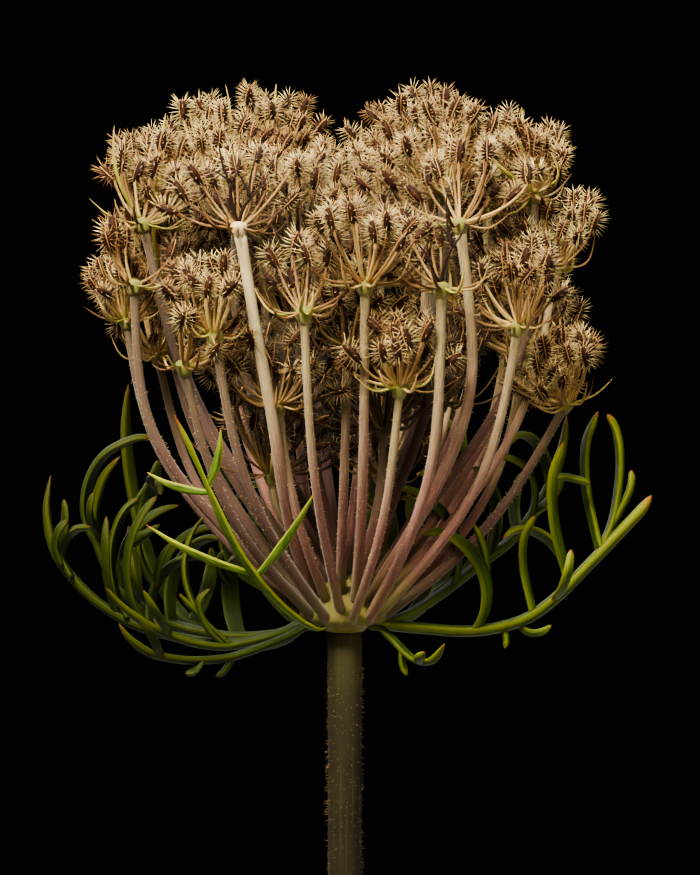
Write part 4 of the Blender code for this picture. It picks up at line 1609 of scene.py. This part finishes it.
@dataclass
class BractRing:
    """The ring of bracts under the head."""

    head_height: float
    bracts: tuple[Bract, ...] = (
        Bract(
            -38, 0, ((11.5, 3.4), (18.4, 8.6), (24, 14.8), (28, 21.0), (31.8, 26.8), (34.4, 30.6)),
            ((0.33, 29, 17.5, 66, 0.0, 0.95, -0.05), (0.34, 190, 15.5, 54, 0.1, 1.2),
             (0.66, 204, 8.5, 70, 0.1, 1.0), (0.68, 53, 8.0, 42, 0.0, 0.95)),
            tone=0.0, fringe=0, bow=0.03, spine_width=1.3, lobe_width=1.3, root=0.62, taper=0.28, point=0.8,
            waist=0.42, plumpness=0.6,
        ),
        Bract(
            -58, -4, ((12, -1.0), (19.5, -2.4), (27, -1.6), (31, 0.4), (33, 3.0)),
            ((0.34, 255, 3.6, 50, 0.0), (0.46, 285, 3.2, 50, 0.2), (0.62, 30, 8.0, 44, 0.9)),
            tone=0.88, fringe=0, bow=0.1, spine_width=1.5, lobe_width=1.4, plumpness=0.7,
        ),
        Bract(
            -75, 4, ((12, -0.8), (18, -1.4), (24, 0.4), (29.5, 3.6), (33, 7.2)),
            ((0.32, 100, 10.0, 30, 1.7), (0.6, 20, 9.0, 40, 0.8)),
            arcs=(
                (1.1, (-16.2, -4.4, -1.2), (-18.1, -5.0, 0.9), (-19.2, -5.4, 3.5), (-19.1, -5.6, 5.0),
                 (-17.8, -5.5, 6.3)),
            ),
            tone=0.8, fringe=1, bow=0.1, spine_width=1.5, lobe_width=1.4, plumpness=0.7,
        ),
        Bract(
            -90, -4, ((13, -1.6), (22, -0.9), (30, 1.8), (36.5, 7.0), (39.8, 13.2), (39.6, 20.6)),
            ((0.36, 150, 13.0, 40, 1.3), (0.52, 40, 14.0, 38, 1.8), (0.74, 80, 8.0, 42, 0.5),
             (0.79, 110, 5.0, 34, 0.1)),
            arcs=(
                (1.7, (-37.9, 0.0, 8.9), (-38.6, -0.6, 11.4), (-38.1, -1.2, 13.6), (-36.8, -1.4, 15.0)),
                (2.1, (-36.5, 0.0, 7.1), (-37.9, 1.0, 9.9), (-37.4, 1.6, 12.1), (-36.0, 1.8, 13.4),
                 (-34.0, 1.6, 13.7)),
                (2.4, (-28.9, 0.0, 1.5), (-30.6, 1.6, 4.6), (-31.4, 2.6, 8.6), (-31.0, 3.2, 12.6),
                 (-29.6, 3.6, 15.8), (-27.8, 3.8, 17.4)),
                (2.5, (-26.2, 0.0, 0.6), (-28.2, -1.6, 4.0), (-28.9, -2.2, 8.0), (-28.5, -2.6, 12.0),
                 (-27.0, -2.8, 15.6), (-24.9, -2.8, 18.3)),
            ),
            fringe=1, fringe_part=0.5, spine_width=1.7, lobe_width=1.7,
        ),
        Bract(
            -107, 6, ((12, -1.2), (22, -0.6), (30, 3.0), (34.5, 10.0), (34.6, 17.5), (30.9, 23.0)),
            ((0.4, 20, 12.0, 45, 1.5), (0.48, 160, 12.0, 45, 1.4), (0.72, 10, 8.0, 45, 0.6)),
            arcs=(
                (3.0, (-32.4, 9.6, 8.6), (-35.2, 10.0, 13.4), (-35.2, 10.0, 18.4), (-33.0, 9.6, 22.6),
                 (-29.0, 9.2, 24.9), (-26.4, 9.0, 25.2)),
            ),
            fringe=2, spine_width=2.1, lobe_width=1.9,
        ),
        Bract(
            -128, 4, ((12, -2.6), (21, -3.2), (29, 0.2), (34, 7.2), (36.5, 15.5), (37.5, 24.0), (36.5, 32.0)),
            ((0.38, 165, 12.0, 48, 1.2), (0.46, 20, 13.0, 42, 1.3), (0.7, 150, 7.0, 40, 0.4)),
            fringe=3, spine_width=2.2,
        ),
        Bract(
            -156, 6, ((12, -0.6), (21, 0.8), (29, 5.4), (34, 12.8), (36.0, 21.0)),
            ((0.36, 170, 11.0, 46, 1.1), (0.5, 15, 12.0, 44, 1.2), (0.72, 165, 7.0, 38, 0.3)),
            tone=0.78,
        ),
        Bract(
            176, -6, ((12, -1.6), (20, -1.4), (28, 2.2), (34, 8.8), (37.4, 17.0), (38.0, 24.5)),
            ((0.36, 20, 12.0, 45, 1.2), (0.46, 160, 12.0, 46, 1.4), (0.7, 25, 7.0, 36, 0.4)),
            tone=0.73,
        ),
        Bract(
            148, 8, ((12, -0.4), (21, 1.0), (29, 5.6), (34.5, 13.6), (37.5, 23.0), (38.0, 30.5)),
            ((0.38, 170, 12.0, 44, 1.0), (0.52, 10, 12.0, 42, 1.1), (0.7, 165, 8.0, 40, 0.4)),
            tone=0.73,
        ),
        Bract(
            116, -2, ((12, 2.6), (18, 6.6), (24, 10.2), (29, 15.0), (32.4, 21.5), (33.4, 28.0)),
            ((0.42, 110, 9.0, 50, 0.4), (0.58, 15, 10.0, 45, 0.5), (0.66, 175, 8.0, 50, 0.4)),
            tone=0.71, spine_width=1.9, lobe_width=1.9,
        ),
        Bract(
            86, 4, ((13, 0.4), (21, 0.6), (28, 4.6), (34, 10.8), (38.4, 15.2), (41.0, 18.2)),
            ((0.42, 95, 13.0, 62, 0.3), (0.56, 120, 20.0, 52, 0.5), (0.68, 70, 19.0, 42, 0.6),
             (0.5, 175, 9.0, 50, 0.8)),
            arcs=(
                (2.4, (33.6, -0.8, 10.2), (35.6, 0.8, 14.2), (36.6, 2.0, 18.6), (36.9, 2.6, 22.8),
                 (36.4, 2.6, 26.4), (35.2, 2.2, 28.9)),
                (1.7, (35.2, 0.4, 13.2), (37.0, 1.4, 16.4), (38.2, 1.8, 19.0), (38.4, 1.8, 21.4)),
                (1.5, (27.0, -2.0, 20.0), (28.8, -2.4, 20.9), (30.8, -2.6, 20.6), (32.6, -2.6, 20.0)),
                (1.0, (22.8, -1.0, 1.4), (24.4, -1.4, 0.0), (26.2, -1.5, 0.0), (27.6, -1.4, 0.9)),
                (1.0, (21.2, -1.0, 0.6), (21.5, -1.4, -1.0), (21.3, -1.5, -2.2)),
            ),
            tone=0.54, fringe=2, fringe_part=0.46, bow=0.17, spine_width=2.3, plumpness=0.88,
        ),
        Bract(
            50, -8, ((8.6, -0.6), (12, -2.6), (16, -2.4), (19.4, 0.2)),
            ((0.36, 280, 3.6, 56, 0.0), (0.6, 170, 4.5, 45, 0.9)),
            tone=0.7, fringe=0, bow=0.1, spine_width=1.3, lobe_width=1.4, plumpness=0.7,
        ),
    )

    def build(self, finish: Material) -> list[Object]:
        """Builds every bract in the one finish and returns them."""
        return [bract.build(i, self.head_height, finish) for i, bract in enumerate(self.bracts, 1)]


# ---------------------------------------------------------------- vase, stem and receptacle


def turned_piece(name: str, profile: list[tuple[float, float]], corners: int) -> Object:
    """A closed, turned shape: a ring is extruded and resized from point to point of a profile.

    Args:
        name: The piece's name.
        profile: Radius and height of each ring, from the underside round to the inside.
        corners: The number of corners of each ring.

    Returns:
        The piece.
    """
    start_modelling()
    radius, height = profile[0]
    bpy.ops.mesh.primitive_circle_add(vertices=corners, radius=radius, location=(0, 0, height), fill_type="TRIFAN")
    piece = bpy.context.object
    piece.name = piece.data.name = name
    bpy.ops.object.transform_apply(location=True, rotation=True, scale=True)
    deselect_mesh()
    rim_only = [math.hypot(v.co.x, v.co.y) > 0.5 * radius for v in piece.data.vertices]
    for edge in piece.data.edges:
        edge.select = all(rim_only[i] for i in edge.vertices)
    with editing():
        bpy.ops.mesh.select_mode(type="EDGE")
        for (radius, height), (next_radius, next_height) in zip(profile, profile[1:]):
            bpy.ops.mesh.extrude_region_move(TRANSFORM_OT_translate={"value": (0, 0, next_height - height)})
            grown = next_radius / radius
            bpy.ops.transform.resize(value=(grown, grown, 1.0), center_override=(0, 0, next_height))
        bpy.ops.mesh.edge_face_add()
        bpy.ops.mesh.poke()
        face_outwards()
    bpy.ops.object.shade_smooth()
    return piece


@dataclass
class BudVase:
    """The turned stoneware bud vase, sizes in millimetres."""

    outline: tuple[tuple[float, float], ...] = ((23, 0), (33, 31), (23, 63), (9.8, 83), (11.0, 100))
    wall: float = 3.0
    floor: float = 5.0
    corners: int = 96
    steps_a_span: int = 9
    foot_ring: tuple[float, float] = (16.0, 19.5)
    throwing: float = 0.07

    def profile(self) -> list[tuple[float, float]]:
        """The whole profile, from under the foot over the rim to the floor inside."""
        outer = catmull_rom(np.array(self.outline), self.steps_a_span)
        wave = np.sin(outer[:, 1] * 1.9) * np.sin(outer[:, 1] * 0.37 + 1.0) * self.throwing
        shaped = outer + np.stack((wave * (outer[:, 1] > 4) * (outer[:, 1] < 97), np.zeros(len(outer))), -1)
        inner = shaped[outer[:, 1] > self.floor] - np.array((self.wall, 0.0))
        lip, top = self.outline[-1]
        half = 0.5 * self.wall
        rim = [
            (lip - half + half * math.cos(a), top + 0.3 * self.wall * math.sin(a))
            for a in np.radians((25, 50, 72, 90, 108, 130, 155))
        ]
        foot = self.outline[0][0]
        ring_in, ring_out = self.foot_ring
        under = [(6.0, 0.6), (ring_in, 0.6), (ring_in + 0.7, 0.05), (ring_out, 0.0)]
        start = [(foot - 1.2, 0.0), (foot - 0.35, 0.18), (foot - 0.02, 0.75)]
        bottom = [(inner[0][0] - 0.8, self.floor + 0.35), (inner[0][0] - 2.4, self.floor), (6.0, self.floor)]
        rows = [*under, *start, *shaped[1:-1], (lip - 0.02, top - 0.4), *rim, *inner[::-1][1:], *bottom]
        return [(float(r) * MM, float(z) * MM) for r, z in rows]

    def build(self, finish: Material) -> Object:
        """The vase as one piece, in place of its solid."""
        piece = turned_piece("bud_vase", self.profile(), self.corners)
        piece.data.materials.append(finish)
        settle(piece, ["vase"])
        return piece


@dataclass
class Stem:
    """The ribbed, hairy stem, which leans against the back of the vase's neck."""

    box: tuple[Vector, Vector]
    radius: float = 2.4 * MM
    corners: int = 28
    rib_depth: float = 0.06
    vase_height: float = 100 * MM
    rings: int = 60
    hair_count: int = 1500
    hair_size: float = 0.4 * MM
    hairy_part: tuple[float, float] = (0.46, 0.99)

    def middles(self) -> Array:
        """The stem's middle line, upright in the vase and then over to the axis."""
        low, high = self.box
        back, free = high.y - self.radius, high.z - self.vase_height
        heights = np.linspace(low.z, high.z, self.rings)
        return np.array([(0.0, back * (1 - smooth_step((z - self.vase_height) / free)), z) for z in heights])

    def build(self, finish: Material, hair: Growth, hair_finish: Material) -> Object:
        """The stem as one piece, in place of its solid.

        Args:
            finish: Its bark.
            hair: One bristle, of unit length in millimetres.
            hair_finish: The hairs' material.

        Returns:
            The piece.
        """
        line = self.middles()
        share = np.linspace(0, 1, self.rings)
        radii = self.radius * (1 - 0.03 * np.sin(share * 9.0) ** 2)
        bark = strand(line, radii, self.corners, self.rib_depth, RIGHT, 0.5)
        rng, count = np.random.default_rng(5), self.hair_count
        middles, _ = on_line(line, rng.uniform(*self.hairy_part, count) * (self.rings - 2))
        turn = rng.uniform(0, 2 * math.pi, count)
        out = np.stack((np.cos(turn), np.sin(turn), np.zeros(count)), -1)
        lean = unit(out + UP * rng.uniform(-0.7, 0.3, count)[:, None])
        long = rng.uniform(0.7, 1.7, count)
        places = matrices(middles + out * self.radius * 0.95, UP[None], lean, self.hair_size, long)
        hairs = hair.copied(places, rng.uniform(-0.2, 0.1, count), 1)
        return piece_from("ribbed_stem", [bark, hairs], [finish, hair_finish], ["stem"])


@dataclass
class Receptacle:
    """The knob that the rays and bracts grow from: a flared foot under a dome."""

    head_height: float
    foot: tuple[tuple[float, float], ...] = (
        (2.0, 0.0), (2.6, 0.0), (2.72, 0.12), (3.1, 0.5), (3.9, 0.8), (4.7, 1.0), (5.5, 1.35), (5.95, 1.7),
    )
    dome_radius: float = 6.2
    dome_lift: float = 1.5
    edge_angle: float = 84.0
    corners: int = 40
    ribs: float = 0.035

    def build(self, finish: Material) -> Object:
        """The receptacle as one piece, in place of its solid."""
        angles = np.radians(np.linspace(self.edge_angle, 8, 14))
        dome = [(self.dome_radius * math.sin(a), self.dome_lift + self.dome_radius * math.cos(a)) for a in angles]
        rows = [(r * MM, self.head_height + z * MM) for r, z in (*self.foot, *dome)]
        piece = turned_piece("receptacle_knob", rows, self.corners)
        deselect_mesh()
        for vertex in piece.data.vertices:
            angle = math.atan2(vertex.co.y, vertex.co.x) / (2 * math.pi) * self.corners
            vertex.select = round(angle) % 2 == 0 and math.hypot(vertex.co.x, vertex.co.y) > 3 * MM
        shrink = 1 - self.ribs
        with editing():
            bpy.ops.transform.resize(value=(shrink, shrink, 1.0), center_override=(0.0, 0.0, self.head_height))
        points = np.array([v.co for v in piece.data.vertices])
        write_grain(piece.data, *upright_grain(points, MM), np.full(len(points), 0.5))
        piece.data.materials.append(finish)
        settle(piece, ["receptacle"])
        return piece


# ---------------------------------------------------------------- the studio


@dataclass(frozen=True)
class Lamp:
    """A square soft light: its place and aim, its side in metres, watts, colour and spread in degrees."""

    name: str
    place: Triple
    aim: Triple
    size: float
    watts: float
    warmth: Colour
    spread: float = 180.0

    def build(self) -> None:
        """Puts the light into the scene."""
        data = bpy.data.lights.new(self.name, "AREA")
        data.shape, data.size, data.energy, data.color = "SQUARE", self.size, self.watts, self.warmth
        data.spread = math.radians(self.spread)
        lamp = bpy.data.objects.new(self.name, data)
        lamp.location = self.place
        lamp.rotation_euler = (Vector(self.aim) - Vector(self.place)).to_track_quat("-Z", "Y").to_euler()
        bpy.context.scene.collection.objects.link(lamp)


@dataclass
class Studio:
    """The camera, floor, lamps and surrounding dark."""

    aim: Vector = field(default_factory=lambda: Vector((0.0007, 0.0, 0.1839)))
    distance: float = 0.42
    elevation: float = 4.0
    lens: float = 129.6
    sensor: float = 36.0
    floor_radius: float = 0.48
    floor_depth: float = 0.012
    surround: Colour = (0.0012, 0.0012, 0.0013)
    lamps: tuple[Lamp, ...] = (
        Lamp("key_light", (-0.085, -0.185, 0.44), HEAD_MIDDLE, 0.13, 0.4, (1.0, 0.94, 0.84), 32.0),
        Lamp("top_light", (0.05, 0.13, 0.46), HEAD_MIDDLE, 0.2, 0.18, (1.0, 0.94, 0.85), 70.0),
        Lamp("fill_light", (0.45, -0.55, 0.34), HEAD_MIDDLE, 0.5, 0.15, (1.0, 0.95, 0.9), 60.0),
        Lamp("back_light", (-0.2, 0.5, 0.38), HEAD_MIDDLE, 0.4, 0.75, (1.0, 0.96, 0.9), 100.0),
        Lamp("side_light", (-0.55, 0.05, 0.34), HEAD_MIDDLE, 0.4, 0.066, (1.0, 0.97, 0.92), 60.0),
        Lamp("vase_light", (0.16, -0.42, 0.13), VASE_MIDDLE, 0.3, 0.085, (1.0, 0.96, 0.9), 38.0),
        Lamp("room_light", (0.0, 0.0, 1.3), VASE_MIDDLE, 1.1, 6.0, (1.0, 0.97, 0.93)),
    )

    def camera(self) -> None:
        """The camera, level with the head and a little above it."""
        lift = math.radians(self.elevation)
        data = bpy.data.cameras.new("camera")
        data.lens, data.sensor_width = self.lens, self.sensor
        data.clip_start, data.clip_end = 0.01, 10.0
        camera = bpy.data.objects.new("camera", data)
        camera.location = self.aim + Vector((0, -math.cos(lift), math.sin(lift))) * self.distance
        camera.rotation_euler = (math.radians(90) - lift, 0.0, 0.0)
        bpy.context.scene.collection.objects.link(camera)
        bpy.context.scene.camera = camera

    def floor(self, finish: Material) -> None:
        """A round, pale floor."""
        start_modelling()
        bpy.ops.mesh.primitive_circle_add(vertices=128, radius=self.floor_radius, fill_type="NGON")
        floor = bpy.context.object
        floor.name = "floor"
        with editing():
            bpy.ops.mesh.select_all(action="SELECT")
            bpy.ops.mesh.extrude_region_move(TRANSFORM_OT_translate={"value": (0, 0, -self.floor_depth)})
            face_outwards()
        floor.data.materials.append(finish)

    def surroundings(self) -> None:
        """A dark, even surround, so that pale bristles stand out."""
        world = bpy.data.worlds.new("surround")
        world.use_nodes = True
        background = world.node_tree.nodes["Background"]
        background.inputs[0].default_value = (*self.surround, 1.0)
        background.inputs[1].default_value = 1.0
        bpy.context.scene.world = world

    def build(self) -> None:
        """Sets up the lamps, floor and surround."""
        for lamp in self.lamps:
            lamp.build()
        self.floor(FloorFinish().material())
        self.surroundings()


def main() -> None:
    """Builds the part piece by piece, then the studio."""
    logging.basicConfig(level=logging.INFO, format="%(message)s")
    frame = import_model()
    studio = Studio()
    studio.camera()

    head_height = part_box("receptacle")[0].z
    hair = SeedPattern().bristle()
    bristle = BristleFinish().material()
    BudVase().build(StonewareFinish().material())
    Stem(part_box("stem")).build(StemFinish().material(), hair, bristle)
    knob = StemFinish("receptacle_skin", tint(100, 94, 30), tint(78, 62, 26), tint(126, 118, 52), (4.0, 4.0, 0.5), 0.0)
    Receptacle(head_height).build(knob.material())
    finishes = [RayFinish().material(), StalkFinish().material(), SeedFinish().material(), bristle]
    centre = np.array((0.0, 0.0, head_height + 1.5 * MM))
    umbellets = SeedHead(frame["nodes"], centre).build(finishes)
    bracts = BractRing(head_height).build(BractFinish().material())
    LOG.info("%d umbellets, %d bracts", len(umbellets), len(bracts))
    studio.build()


if __name__ == "__main__":
    main()
